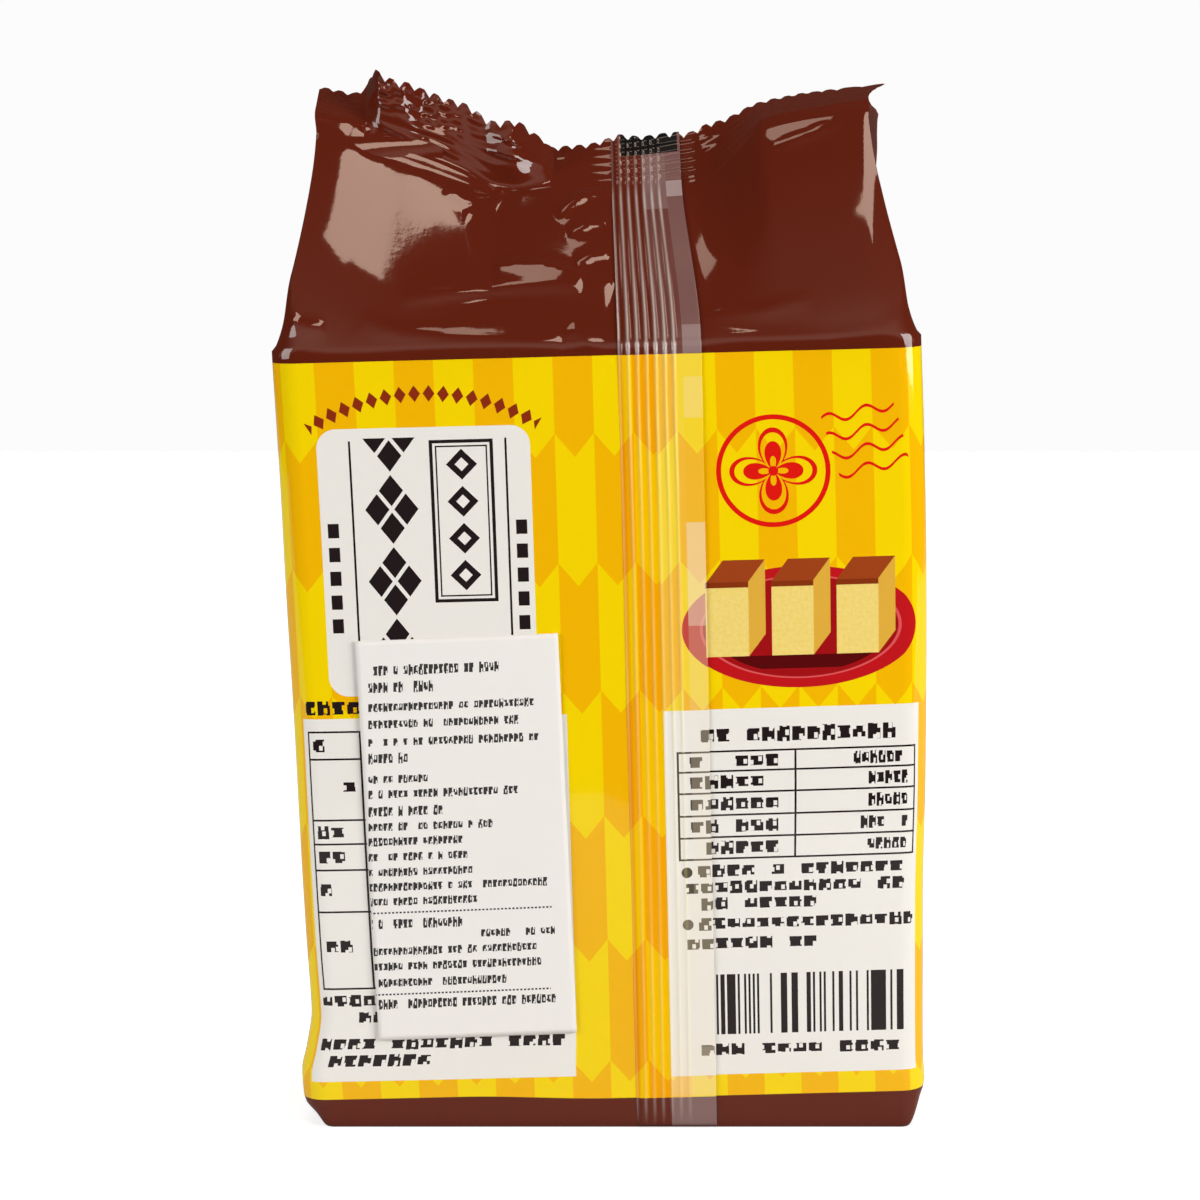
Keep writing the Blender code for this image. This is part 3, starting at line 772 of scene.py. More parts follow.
def draw_rows(tree, place, rows, letter, seed):
    """Mask of rows of small pierced blocks in word lengths; each row is (middle, start, end, height)."""
    rows = sorted(rows)
    low = rows[0][0] - ROW_MARGIN
    high = rows[-1][0] + ROW_MARGIN
    stops = []
    for i, (middle, start, end, height) in enumerate(rows):
        edge = 0.0 if i == 0 else (0.5 * (rows[i - 1][0] + middle) - low) / (high - low)
        stops.append((edge, ((middle - low) / (high - low), start / ROW_SCALE + 0.5, end / ROW_SCALE + 0.5,
                             height / ROW_SCALE)))
    ramp = ramp_of(tree, step_place(tree, place[1], low, high - low), stops)
    parts = add(tree, "ShaderNodeSeparateColor", (ramp.outputs["Color"],)).outputs
    middle = add(tree, "MULTIPLY_ADD", (parts[0], high - low, low))
    start, end = (add(tree, "MULTIPLY_ADD", (part, ROW_SCALE, -0.5 * ROW_SCALE)) for part in parts[1:3])
    row_height = add(tree, "MULTIPLY", (ramp.outputs["Alpha"], ROW_SCALE))

    letters = step_place(tree, shifted(tree, place[0], start), 0.0, letter)
    number = whole(tree, letters)
    across = fraction(tree, letters)
    cell = add(tree, "ShaderNodeCombineXYZ", (number, middle, seed))
    draw = add(tree, "ShaderNodeTexWhiteNoise", {"Vector": cell}, noise_dimensions="3D")
    word = add(tree, "GREATER_THAN", (draw.outputs["Value"], GAP_SHARE))
    share = add(tree, "ShaderNodeSeparateColor", (draw.outputs["Color"],)).outputs
    height = both(tree, add(tree, "MULTIPLY_ADD", (share[2], *LETTER_HEIGHTS)), row_height)
    in_row = add(tree, "COMPARE", (place[1], middle, height))
    ink = both(tree, in_row, word, band(tree, across, 0.0, LETTER_SHARE))
    up = add(tree, "DIVIDE", (shifted(tree, place[1], middle), row_height))
    for first, second in ((0, 1), (1, 2), (2, 0)):
        hole_x = fraction(tree, add(tree, "MULTIPLY_ADD", (share[first], HOLE_DRIFT[0], across)))
        hole_y = fraction(tree, add(tree, "MULTIPLY_ADD", (share[second], HOLE_DRIFT[1], up)))
        hole = both(tree, band(tree, hole_x, 0.0, HOLE_WIDTH), band(tree, hole_y, 0.0, HOLE_HEIGHT))
        ink = without(tree, ink, hole)
    past_end = add(tree, "MULTIPLY_ADD", (number, letter, letter))
    before = add(tree, "LESS_THAN", (past_end, shifted(tree, end, start)))
    after = add(tree, "GREATER_THAN", (number, -0.5))
    return both(tree, ink, after, before)


# Colours
BROWN = "601f0e"
YELLOW = "fddb00"
AMBER = "fabc00"
PAPER_WHITE = "f3f1ec"
INK = "231a1c"
TITLE_RED = "8f2d12"
STAMP_RED = "e5180f"
WHITE = (1.0, 1.0, 1.0, 1.0)

# Places of the print are in millimetres of film, its outlines are (left, low, right, high)
BAND_TOP = 129.3
BAND_BOTTOM = 5.3
COLUMN_LEFT = 6.3
COLUMN_LEFT_START = -0.94
COLUMN_RIGHT = 6.2
COLUMN_RIGHT_START = 18.6
PRINT_JOINT = 9.05
FRONT_SHIFT = 2.5
FRONT_FROM = 104.0
ZIGZAG_PITCH = 21.0
ZIGZAG_START = 12.0
ZIGZAG_DEPTH = 3.8

# How far the lower brown end rises at the left, and the spans round the film where it rises and falls
FOOT_LINE_RISE = 0.9
FOOT_LINE_SPANS = ((0.0, -26.0), (-100.0, -60.0))

TITLE_PANEL = (-45.4, 74.9, -11.2, 118.6)
TITLE_CORNER = 3.2
TITLE_RULES = [(-40.3, 79.0, -39.95, 116.6), (-15.3, 79.0, -14.95, 116.6)]
TITLE_RIMS = [((-27.4, 90.1, -17.15, 116.5), 0.55), ((-26.45, 91.05, -18.1, 115.55), 0.25)]
FIGURE_MIDDLE = -33.8
FIGURE_SPAN = (76.2, 117.0)
FIGURE_PITCH = 11.7
FIGURE_HALF = (4.3, 5.6)
FIGURE_GAP = 0.5
MARK_MIDDLE = -22.28
MARK_SPAN = (91.5, 115.5)
MARK_PITCH = 6.0
MARK_HALF = 2.5
MARK_HOLE = 1.1
SQUARE_SPAN = (84.6, 104.1)
SQUARE_PITCH = 3.9
SQUARE_SHARE = (0.2, 0.8)
SQUARE_COLUMNS = [(-44.3, -42.5), (-13.9, -12.1)]

ARC_CENTRE = (-28.2, 89.2)
ARC_RADIUS = 34.8
ARC_REACH = 19.4
ARC_PITCH = 2.3
ARC_HALF = (0.95, 1.35)

STAMP_CENTRE = (27.4, 110.1)
STAMP_RING = (8.3, 9.1)
STAMP_DOT = 0.8
PETAL_ROOT = 2.4
PETAL_LENGTH = 4.6
PETAL_RINGS = [(0.0, 0.8), (2.2, 4.6)]
WAVE_START = 35.2
WAVE_TURN = 1.05
WAVE_PHASE = 0.4
WAVE_SWING = 0.8
WAVE_CLIMB = 0.2
WAVE_SLANT = 0.28
WAVE_FIRST = 107.2
WAVE_PITCH = 3.1
WAVE_LINE = (0.42, 0.58)
WAVE_ACROSS = (33.2, 45.4)
WAVE_UP = (107.6, 119.6)

# The pictured plate, and one slice of the cake on it with its face as an outline
PLATE_CENTRE = (31.4, 84.6)
PLATE_FLATNESS = 1.9
PLATE_RADIUS = 19.0
PLATE_RING = (15.6, 16.1)
SHADE_RADIUS = 14.4
SHADE_DEPTH = 2.2
SLICE_PITCH = 10.4
SLICE_SPAN = (-15.6, 15.6)
SLICE_FACE = (0.5, -4.6, 7.2, 7.6)
SLICE_TOP = 11.2
SLICE_SIDE = 9.9
TOP_SLANT = -0.75
SIDE_SLANT = -1.33
CRUST_LOW = 6.7
CRUMB_SCALE = 1.6

# Tables: sides of the upright lines, their span, level lines, their span; rows as for draw_rows
LEVEL_HALF = 0.16
TABLE_LETTER = 2.45
AMOUNT_LETTER = 1.35
BAR_LETTER = 2.6
LEFT_PANEL = (-50.8, 9.3, -6.65, 71.2)
LEFT_RULES = (((-49.85, -49.5), (-40.95, -40.6)), (25.4, 69.0),
              (69.0, 64.45, 54.2, 50.15, 45.75, 38.6, 25.4), (-49.85, -8.4))
LEFT_WORDS = [(73.0, -50.0, -38.0, 2.5), (66.75, -48.8, -46.0, 2.3), (59.8, -48.9, -41.4, 2.3),
              (52.15, -48.8, -42.6, 2.3), (47.95, -48.8, -41.6, 2.3), (42.4, -48.9, -41.6, 2.3),
              (32.7, -48.4, -42.0, 2.3), (23.3, -50.1, -39.0, 2.2), (20.4, -43.6, -36.0, 2.2),
              (15.8, -49.8, -7.3, 2.3), (12.85, -47.5, -29.5, 2.3)]
RIGHT_PANEL = (9.1, 9.0, 51.2, 71.35)
RIGHT_RULES = (((11.1, 11.45), (30.13, 30.47), (50.13, 50.47)), (46.1, 64.4),
               (64.3, 61.0, 57.4, 53.6, 49.9, 46.25), (11.1, 50.5))
TABLE_ROWS = [(62.65, 38.4), (59.2, 42.2), (55.5, 42.2), (51.75, 41.0), (48.1, 42.2)]
RIGHT_AMOUNTS = [(z, start, 49.4, 2.3) for z, start in TABLE_ROWS]
RIGHT_WORDS = [(67.0, 15.1, 49.6, 2.7), (44.2, 14.2, 50.6, 2.2), (41.35, 12.2, 50.6, 2.2),
               (38.6, 12.2, 36.0, 2.2), (35.2, 14.2, 51.0, 2.2), (31.8, 12.2, 35.0, 2.2)]
RIGHT_WORDS += [(z, 13.2, 28.6, 2.3) for z, _ in TABLE_ROWS]
BAR_WORDS = [(13.4, 14.2, 48.6, 2.1)]
BARS = (17.0, 16.0, 48.5, 26.4)
BAR_PITCH = 0.36
BAR_SHARE = 0.52
BULLETS = [(12.4, 44.1), (12.4, 35.2)]
BULLET_RADIUS = 0.9


def chevron_ground(tree, place):
    """Two yellows in upright columns that swap along zigzag lines."""
    left = step_place(tree, place[0], COLUMN_LEFT_START, COLUMN_LEFT)
    right = step_place(tree, place[0], COLUMN_RIGHT_START - COLUMN_RIGHT, COLUMN_RIGHT)
    past_joint = add(tree, "GREATER_THAN", (place[0], PRINT_JOINT))
    column = add(tree, "ShaderNodeMix", {0: past_joint, 2: left, 3: right}, data_type="FLOAT")
    from_middle = add(tree, "PINGPONG", (fraction(tree, column), 1.0))
    centred = add(tree, "SUBTRACT", (from_middle, 0.5))
    tip = add(tree, "ABSOLUTE", (centred,))
    drop = add(tree, "MULTIPLY_ADD", (tip, -2.0 * ZIGZAG_DEPTH, ZIGZAG_DEPTH - ZIGZAG_START))
    level = add(tree, "ADD", (place[1], drop))
    level = add(tree, "MULTIPLY", (level, 1.0 / ZIGZAG_PITCH))
    total = add(tree, "ADD", (whole(tree, column), whole(tree, level)))
    odd = add(tree, "PINGPONG", (total, 1.0))
    return paint(tree, linear(AMBER), odd, YELLOW)


def title_panel(tree, ground, place):
    """White panel with rules, a framed row of marks and a column of four-lozenge figures."""
    colour = paint(tree, ground, rounded_panel(tree, place, TITLE_PANEL, TITLE_CORNER), PAPER_WHITE)
    parts = [rectangle(tree, place, *outline) for outline in TITLE_RULES]
    parts += [rim(tree, place, outline, width) for outline, width in TITLE_RIMS]

    across = shifted(tree, place[0], FIGURE_MIDDLE)
    up = in_repeat(tree, place[1], FIGURE_SPAN[0], FIGURE_PITCH)
    figure = lozenge(tree, across, up, *FIGURE_HALF)
    for slope in (FIGURE_HALF[1] / FIGURE_HALF[0], -FIGURE_HALF[1] / FIGURE_HALF[0]):
        slant = add(tree, "MULTIPLY_ADD", (across, slope, up))
        figure = without(tree, figure, band(tree, slant, -FIGURE_GAP, FIGURE_GAP))
    parts.append(both(tree, figure, band(tree, place[1], *FIGURE_SPAN)))

    across = shifted(tree, place[0], MARK_MIDDLE)
    up = in_repeat(tree, place[1], MARK_SPAN[0], MARK_PITCH)
    mark = without(tree, lozenge(tree, across, up, MARK_HALF, MARK_HALF),
                   lozenge(tree, across, up, MARK_HOLE, MARK_HOLE))
    parts.append(both(tree, mark, band(tree, place[1], *MARK_SPAN)))

    square = fraction(tree, step_place(tree, place[1], SQUARE_SPAN[0], SQUARE_PITCH))
    columns = either(tree, *[band(tree, place[0], *span) for span in SQUARE_COLUMNS])
    parts.append(both(tree, band(tree, square, *SQUARE_SHARE), columns, band(tree, place[1], *SQUARE_SPAN)))
    return paint(tree, colour, either(tree, *parts), INK)


def title_arc(tree, ground, place):
    """A bowed row of small diamonds above the title panel."""
    dx, dz = (shifted(tree, value, centre) for value, centre in zip(place, ARC_CENTRE))
    out = shifted(tree, distance(tree, dx, dz), ARC_RADIUS)
    run = add(tree, "MULTIPLY", (add(tree, "ARCTAN2", (dx, dz)), ARC_RADIUS))
    marks = lozenge(tree, in_repeat(tree, run, 0.0, ARC_PITCH), out, *ARC_HALF)
    return paint(tree, ground, both(tree, marks, band(tree, run, -ARC_REACH, ARC_REACH)), TITLE_RED)


def stamp(tree, ground, place):
    """Red ring with a four-petal blossom, and four wavy lines."""
    dx, dz = (shifted(tree, value, centre) for value, centre in zip(place, STAMP_CENTRE))
    arm = distance(tree, dx, dz)
    turn = add(tree, "MULTIPLY", (add(tree, "ARCTAN2", (dx, dz)), 2.0))
    petal = add(tree, "ABSOLUTE", (add(tree, "COSINE", (turn,)),))
    petal = add(tree, "MULTIPLY_ADD", (petal, PETAL_LENGTH, PETAL_ROOT))
    gap = shifted(tree, petal, arm)
    bloom = [band(tree, gap, *ring) for ring in PETAL_RINGS]
    ink = either(tree, band(tree, arm, *STAMP_RING), *bloom, add(tree, "LESS_THAN", (arm, STAMP_DOT)))

    along = shifted(tree, place[0], WAVE_START)
    swing = add(tree, "SINE", (add(tree, "MULTIPLY_ADD", (along, WAVE_TURN, WAVE_PHASE)),))
    rise = add(tree, "MULTIPLY_ADD", (along, -WAVE_CLIMB, place[1]))
    line = add(tree, "MULTIPLY_ADD", (swing, -WAVE_SWING, rise))
    waves = band(tree, fraction(tree, step_place(tree, line, WAVE_FIRST, WAVE_PITCH)), *WAVE_LINE)
    slope = add(tree, "MULTIPLY_ADD", (place[1], WAVE_SLANT, along))
    waves = both(tree, waves, band(tree, slope, *WAVE_ACROSS), band(tree, line, *WAVE_UP))
    return paint(tree, ground, either(tree, ink, waves), STAMP_RED)


def picture(tree, ground, place):
    """Round red plate with three slices of sponge cake."""
    px, py = (shifted(tree, value, centre) for value, centre in zip(place, PLATE_CENTRE))
    arm = distance(tree, px, add(tree, "MULTIPLY", (py, PLATE_FLATNESS)))
    colour = paint(tree, ground, add(tree, "LESS_THAN", (arm, PLATE_RADIUS)), "c4161d")
    colour = paint(tree, colour, band(tree, arm, *PLATE_RING), "e0585a")
    colour = paint(tree, colour, add(tree, "LESS_THAN", (arm, PLATE_RING[0])), "a51016")

    left, low, right, high = SLICE_FACE
    shade = both(tree, add(tree, "LESS_THAN", (arm, SHADE_RADIUS)), band(tree, py, low - SHADE_DEPTH, low))
    colour = paint(tree, colour, shade, "5a0709")
    across = fraction(tree, step_place(tree, px, SLICE_SPAN[0], SLICE_PITCH))
    across = add(tree, "MULTIPLY", (across, SLICE_PITCH))
    trio = band(tree, px, *SLICE_SPAN)
    face = rectangle(tree, (across, py), *SLICE_FACE)
    leant = add(tree, "MULTIPLY_ADD", (shifted(tree, py, high), TOP_SLANT, across))
    top = both(tree, band(tree, leant, left, right), band(tree, py, high, SLICE_TOP))
    leant = add(tree, "MULTIPLY_ADD", (shifted(tree, across, right), SIDE_SLANT, py))
    side = both(tree, band(tree, across, right, SLICE_SIDE), band(tree, leant, low, high))
    crust = rectangle(tree, (across, py), left, CRUST_LOW, right, high)
    flat = add(tree, "ShaderNodeCombineXYZ", place)
    grain = add(tree, "ShaderNodeTexNoise", {"Vector": flat, "Scale": CRUMB_SCALE})
    crumb = paint(tree, linear("fbe794"), grain, "f2cf58").outputs[2]
    for form, tone in ((face, crumb), (side, "e6b240"), (crust, "8a3410"), (top, "a2441a")):
        colour = paint(tree, colour, both(tree, form, trio), tone)
    return colour


def ruled(tree, place, uprights, upright_span, levels, level_span):
    """Mask of a table's thin lines."""
    upright = either(tree, *[band(tree, place[0], *sides) for sides in uprights])
    level = either(tree, *[band(tree, place[1], z - LEVEL_HALF, z + LEVEL_HALF) for z in levels])
    return either(tree, both(tree, upright, band(tree, place[1], *upright_span)),
                  both(tree, level, band(tree, place[0], *level_span)))


def left_table(tree, ground, place):
    """White panel on the left with a ruled table and plain bars for words."""
    colour = paint(tree, ground, rectangle(tree, place, *LEFT_PANEL), PAPER_WHITE)
    words = draw_rows(tree, place, LEFT_WORDS, TABLE_LETTER, seed=4.0)
    return paint(tree, colour, either(tree, ruled(tree, place, *LEFT_RULES), words), INK)


def right_table(tree, ground, place):
    """White panel on the right with a ruled table, rows of bars and a block of upright bars."""
    colour = paint(tree, ground, rectangle(tree, place, *RIGHT_PANEL), PAPER_WHITE)
    parts = [ruled(tree, place, *RIGHT_RULES),
             draw_rows(tree, place, RIGHT_WORDS, TABLE_LETTER, seed=7.0),
             draw_rows(tree, place, RIGHT_AMOUNTS, AMOUNT_LETTER, seed=8.0),
             draw_rows(tree, place, BAR_WORDS, BAR_LETTER, seed=9.0)]
    for centre in BULLETS:
        off = [shifted(tree, value, middle) for value, middle in zip(place, centre)]
        parts.append(add(tree, "LESS_THAN", (distance(tree, *off), BULLET_RADIUS)))
    stroke = whole(tree, step_place(tree, place[0], BARS[0], BAR_PITCH))
    draw = add(tree, "ShaderNodeTexWhiteNoise", {"W": stroke}, noise_dimensions="1D")
    bar = add(tree, "GREATER_THAN", (draw.outputs["Value"], BAR_SHARE))
    parts.append(both(tree, bar, rectangle(tree, place, *BARS)))
    return paint(tree, colour, either(tree, *parts), INK)


def print_group():
    """The whole film print as one node group from a film place to a colour."""
    tree = bpy.data.node_groups.new("film_print", "ShaderNodeTree")
    tree.interface.new_socket("Place", in_out="INPUT", socket_type="NodeSocketVector")
    tree.interface.new_socket("Colour", in_out="OUTPUT", socket_type="NodeSocketColor")
    start = tree.nodes.new("NodeGroupInput")
    place = add(tree, "ShaderNodeSeparateXYZ", (start.outputs[0],)).outputs[0:2]
    colour = chevron_ground(tree, place)
    colour = left_table(tree, colour, place)
    colour = right_table(tree, colour, place)
    front = add(tree, "GREATER_THAN", (place[0], FRONT_FROM))
    front_u = shifted(tree, place[0], PACK_WIDTH + PACK_DEPTH - FRONT_SHIFT)
    panel_u = add(tree, "ShaderNodeMix", {0: front, 2: place[0], 3: front_u}, data_type="FLOAT")
    for part in (title_panel, title_arc, stamp, picture):
        colour = part(tree, colour, (panel_u, place[1]))
    rise = [add(tree, "ShaderNodeMapRange", (place[0], near, far, 0.0, 1.0), interpolation_type="SMOOTHSTEP")
            for near, far in FOOT_LINE_SPANS]
    foot_line = add(tree, "MULTIPLY_ADD", (both(tree, *rise), FOOT_LINE_RISE, BAND_BOTTOM))
    foot = add(tree, "LESS_THAN", (place[1], foot_line))
    edge = add(tree, "GREATER_THAN", (place[1], BAND_TOP))
    colour = paint(tree, colour, either(tree, edge, foot), BROWN)
    end = tree.nodes.new("NodeGroupOutput")
    tree.links.new(colour.outputs[2], end.inputs[0])
    return tree


def new_material(name, roughness):
    """A plain node material of a roughness, its tree and its shader."""
    material = bpy.data.materials.new(name)
    material.use_nodes = True
    tree = material.node_tree
    shader = tree.nodes["Principled BSDF"]
    shader.inputs["Roughness"].default_value = roughness
    return material, tree, shader


# Waves of the film's skin, about 1.4 mm long
FILM_GRAIN = 700.0


def gloss_film(print_tree):
    """Gloss polypropylene film, reverse printed: clean colour under a soft mirror."""
    material, tree, shader = new_material("gloss_printed_film", 0.05)
    places = add(tree, "ShaderNodeUVMap", uv_map="film")
    group = add(tree, "ShaderNodeGroup", (places,), node_tree=print_tree)
    tree.links.new(group.outputs[0], shader.inputs["Base Color"])
    body = add(tree, "ShaderNodeTexCoord").outputs["Object"]
    fine = add(tree, "ShaderNodeTexNoise", {"Vector": body, "Scale": FILM_GRAIN, "Detail": 2.0})
    bump = add(tree, "ShaderNodeBump", {"Strength": 0.05, "Distance": 0.1 * MM, "Height": fine})
    tree.links.new(bump.outputs[0], shader.inputs["Normal"])
    return material


# How milky the doubled film looks, as (height up the film, share): in the ribs, then in the flat edge
RIB_VEIL = [(0.0, 0.18), (5.3, 0.3), (14.0, 0.2), (40.0, 0.08), (130.0, 0.05), (158.0, 0.16)]
EDGE_VEIL = [(0.0, 0.18), (5.3, 0.3), (14.0, 0.2), (84.7, 0.45), (101.7, 0.05), (118.6, 0.24),
             (125.0, 0.08), (129.3, 0.26), (133.4, 0.12), (161.2, 0.4), (164.6, 0.12)]

# The deeper fold line at the seal's root and the dark mark at its top
FIN_FOLD = 0.6
FIN_MARK = (5.1, 171.2, FIN_RIGHT - 0.5, 190.0)


def height_share(tree, height, stations):
    """Stepped share of each height, from (height, share) stations."""
    stops = [(low / ROW_SCALE, (share, share, share, 1.0)) for low, share in stations]
    ramp = ramp_of(tree, add(tree, "DIVIDE", (height, ROW_SCALE)), stops)
    return add(tree, "ShaderNodeSeparateColor", (ramp.outputs["Color"],))


def fin_film(print_tree):
    """The same film doubled in the seal: deeper yellow left of the print joint, milky right of it, with pale
    crests that are partly milky film and partly a painted highlight.
    """
    material, tree, shader = new_material("ribbed_seal_film", 0.14)
    places = add(tree, "ShaderNodeUVMap", uv_map="film")
    group = add(tree, "ShaderNodeGroup", (places,), node_tree=print_tree)
    u, v = add(tree, "ShaderNodeSeparateXYZ", (places,)).outputs[0:2]
    in_band = band(tree, v, BAND_BOTTOM, BAND_TOP)
    yellow = both(tree, add(tree, "LESS_THAN", (u, PRINT_JOINT)), in_band)
    fold = both(tree, yellow, band(tree, u, FIN_LEFT, FIN_LEFT + FIN_FOLD))
    deep = paint(tree, paint(tree, WHITE, yellow, "ffe8a0"), fold, "ffcf70")
    doubled = add(tree, "ShaderNodeMix", {0: 1.0, 6: group, 7: deep}, data_type="RGBA", blend_type="MULTIPLY")
    clear = add(tree, "GREATER_THAN", (u, PRINT_JOINT))
    flat = add(tree, "GREATER_THAN", (u, FIN_LEFT + RIB_COUNT * RIB_PITCH))
    rib_veil = both(tree, clear, height_share(tree, v, RIB_VEIL))
    edge_veil = height_share(tree, v, EDGE_VEIL)
    veil = add(tree, "ShaderNodeMix", {0: flat, 2: rib_veil, 3: edge_veil}, data_type="FLOAT")
    haze = paint(tree, linear("e4d8da"), in_band, "fbecd0")
    milky = paint(tree, doubled, veil, haze.outputs[2])
    # The rib crests are painted pale: partly the milky gathered film, partly a painted highlight for the
    # light the crests catch
    crest = add(tree, "ShaderNodeAttribute", attribute_name="crest").outputs["Fac"]
    crest = add(tree, "MULTIPLY", (crest, CREST_VEIL_AND_HIGHLIGHT))
    rib = paint(tree, linear("efe2da"), in_band, "fff0a0")
    milky = paint(tree, milky, crest, rib.outputs[2])
    colour = paint(tree, milky, rectangle(tree, (u, v), *FIN_MARK), "121114")
    tree.links.new(colour.outputs[2], shader.inputs["Base Color"])
    sheen = paint(tree, WHITE, in_band, "ffe070")
    tree.links.new(sheen.outputs[2], shader.inputs["Specular Tint"])
    return material


# Rows of the label in its own millimetres as (middle, end, height), and how far its left margin slants
LABEL_SHEAR = 0.0565
LABEL_TOP_ROW = 28.8
LABEL_MARGIN = -14.6
LABEL_LINES = [(28.8, 7.3, 1.9), (26.0, -3.2, 1.9), (22.7, 13.0, 1.5), (19.9, 10.9, 1.5),
               (16.9, 13.6, 1.5), (14.2, -7.4, 1.8), (10.7, -4.2, 1.5), (8.2, 10.3, 1.5),
               (5.3, -2.0, 1.8), (2.7, 6.2, 1.5), (0.2, 1.9, 1.5), (-2.4, 2.6, 1.5), (-5.0, 3.4, 1.5),
               (-7.5, 15.4, 1.5), (-10.0, 3.5, 1.5), (-13.8, 1.5, 1.8), (-18.5, 13.7, 1.5),
               (-21.1, 14.7, 1.5), (-23.9, 8.7, 1.5), (-27.6, 16.9, 1.8)]
LABEL_ROWS = [(z, LABEL_MARGIN, end, height) for z, end, height in LABEL_LINES] + [(-15.9, 4.0, 16.3, 1.4)]
DOTTED_LEVELS = (-11.9, -25.9)
DOTTED_SPAN = (-14.8, 15.6)
DOTTED_HALF = 0.14
DOT_PITCH = 0.62
DOT_SHARE = 0.6
LABEL_LETTER = 0.82


def label_paper():
    """Coated label paper: matte white with plain bars for its words."""
    material, tree, shader = new_material("coated_label_paper", 0.55)
    places = add(tree, "ShaderNodeUVMap", uv_map="film")
    u, v = add(tree, "ShaderNodeSeparateXYZ", (places,)).outputs[0:2]
    upright = add(tree, "MULTIPLY_ADD", (v, -LABEL_SHEAR, LABEL_TOP_ROW * LABEL_SHEAR))
    text_place = (add(tree, "ADD", (u, upright)), v)
    dots = band(tree, fraction(tree, step_place(tree, u, 0.0, DOT_PITCH)), 0.0, DOT_SHARE)
    lines = [rectangle(tree, text_place, DOTTED_SPAN[0], z - DOTTED_HALF, DOTTED_SPAN[1], z + DOTTED_HALF)
             for z in DOTTED_LEVELS]
    words = draw_rows(tree, text_place, LABEL_ROWS, LABEL_LETTER, seed=21.0)
    ink = either(tree, words, both(tree, dots, either(tree, *lines)))
    colour = paint(tree, linear("f4f2ef"), ink, "2a2628")
    tree.links.new(colour.outputs[2], shader.inputs["Base Color"])
    return material


# Noise scales for the ribs' drift, 36 mm long, and for their uneven height, 17 mm long
RIB_DRIFT_SCALE = 28.0
RIB_UNEVEN_SCALE = 60.0
RIB_UNEVEN = (1.6, 0.1)


def rib_tree():
    """Geometry nodes that raise the sealing jaw's ribs along a strip of film."""
    tree = bpy.data.node_groups.new("jaw_ribs", "GeometryNodeTree")
    tree.interface.new_socket("Strip", in_out="INPUT", socket_type="NodeSocketGeometry")
    for name in ("First rib", "Rib pitch", "Rib count", "Rib height", "Rib width", "Slack"):
        tree.interface.new_socket(name, in_out="INPUT", socket_type="NodeSocketFloat")
    tree.interface.new_socket("Film", in_out="INPUT", socket_type="NodeSocketMaterial")
    tree.interface.new_socket("Seal", in_out="OUTPUT", socket_type="NodeSocketGeometry")
    start = tree.nodes.new("NodeGroupInput").outputs
    across, press = (add(tree, "GeometryNodeInputNamedAttribute", {"Name": name}, data_type="FLOAT")
                     for name in ("across", "press"))
    place = add(tree, "GeometryNodeInputPosition")
    drift = add(tree, "ShaderNodeTexNoise", {"Vector": place, "Scale": RIB_DRIFT_SCALE, "Detail": 1.0})
    across = add(tree, "MULTIPLY_ADD", (shifted(tree, drift, 0.5), start["Slack"], across))
    number = add(tree, "DIVIDE", (shifted(tree, across, start["First rib"]), start["Rib pitch"]))
    near = add(tree, "ROUND", (number,))
    off = add(tree, "MULTIPLY", (shifted(tree, number, near), start["Rib pitch"]))
    off = add(tree, "DIVIDE", (off, start["Rib width"]))
    square = add(tree, "MULTIPLY", (off, off))
    crest = add(tree, "POWER", (math.e, add(tree, "MULTIPLY", (square, -1.0))))
    first = add(tree, "GREATER_THAN", (near, -0.5))
    last = add(tree, "LESS_THAN", (near, start["Rib count"]))
    uneven = add(tree, "ShaderNodeTexNoise", {"Vector": place, "Scale": RIB_UNEVEN_SCALE, "Detail": 1.0})
    uneven = add(tree, "MULTIPLY_ADD", (uneven, *RIB_UNEVEN))
    crest = both(tree, crest, first, last, press, uneven)
    # The crest share is kept for the seal's material, which paints the pale crest highlight from it
    marked = {"Geometry": start["Strip"], "Name": "crest", "Value": crest}
    marked = add(tree, "GeometryNodeStoreNamedAttribute", marked, data_type="FLOAT", domain="POINT")
    normal = add(tree, "GeometryNodeInputNormal")
    height = both(tree, crest, start["Rib height"])
    lift = add(tree, VECTOR_MATH, {0: normal, "Scale": height}, operation="SCALE")
    raised = add(tree, "GeometryNodeSetPosition", {"Geometry": marked, "Offset": lift})
    real = add(tree, "GeometryNodeRealizeInstances", (raised,))
    covered = add(tree, "GeometryNodeSetMaterial", {"Geometry": real, "Material": start["Film"]})
    end = tree.nodes.new("NodeGroupOutput")
    tree.links.new(covered.outputs[0], end.inputs[0])
    return tree


def made_plain(piece, tree, values):
    """Run a geometry nodes tree on a piece and keep its result as a plain mesh."""
    run = piece.modifiers.new("nodes", "NODES")
    run.node_group = tree
    for socket in tree.interface.items_tree:
        if socket.name in values:
            run[socket.identifier] = values[socket.name]
    graph = bpy.context.evaluated_depsgraph_get()
    finished = piece.evaluated_get(graph)
    made = bpy.data.meshes.new_from_object(finished, preserve_all_data_layers=True, depsgraph=graph)
    piece.modifiers.remove(run)
    piece.data = made


def thicken(piece, thickness):
    """Give a sheet its thickness in millimetres."""
    wall = piece.modifiers.new("thickness", "SOLIDIFY")
    wall.thickness = thickness * MM


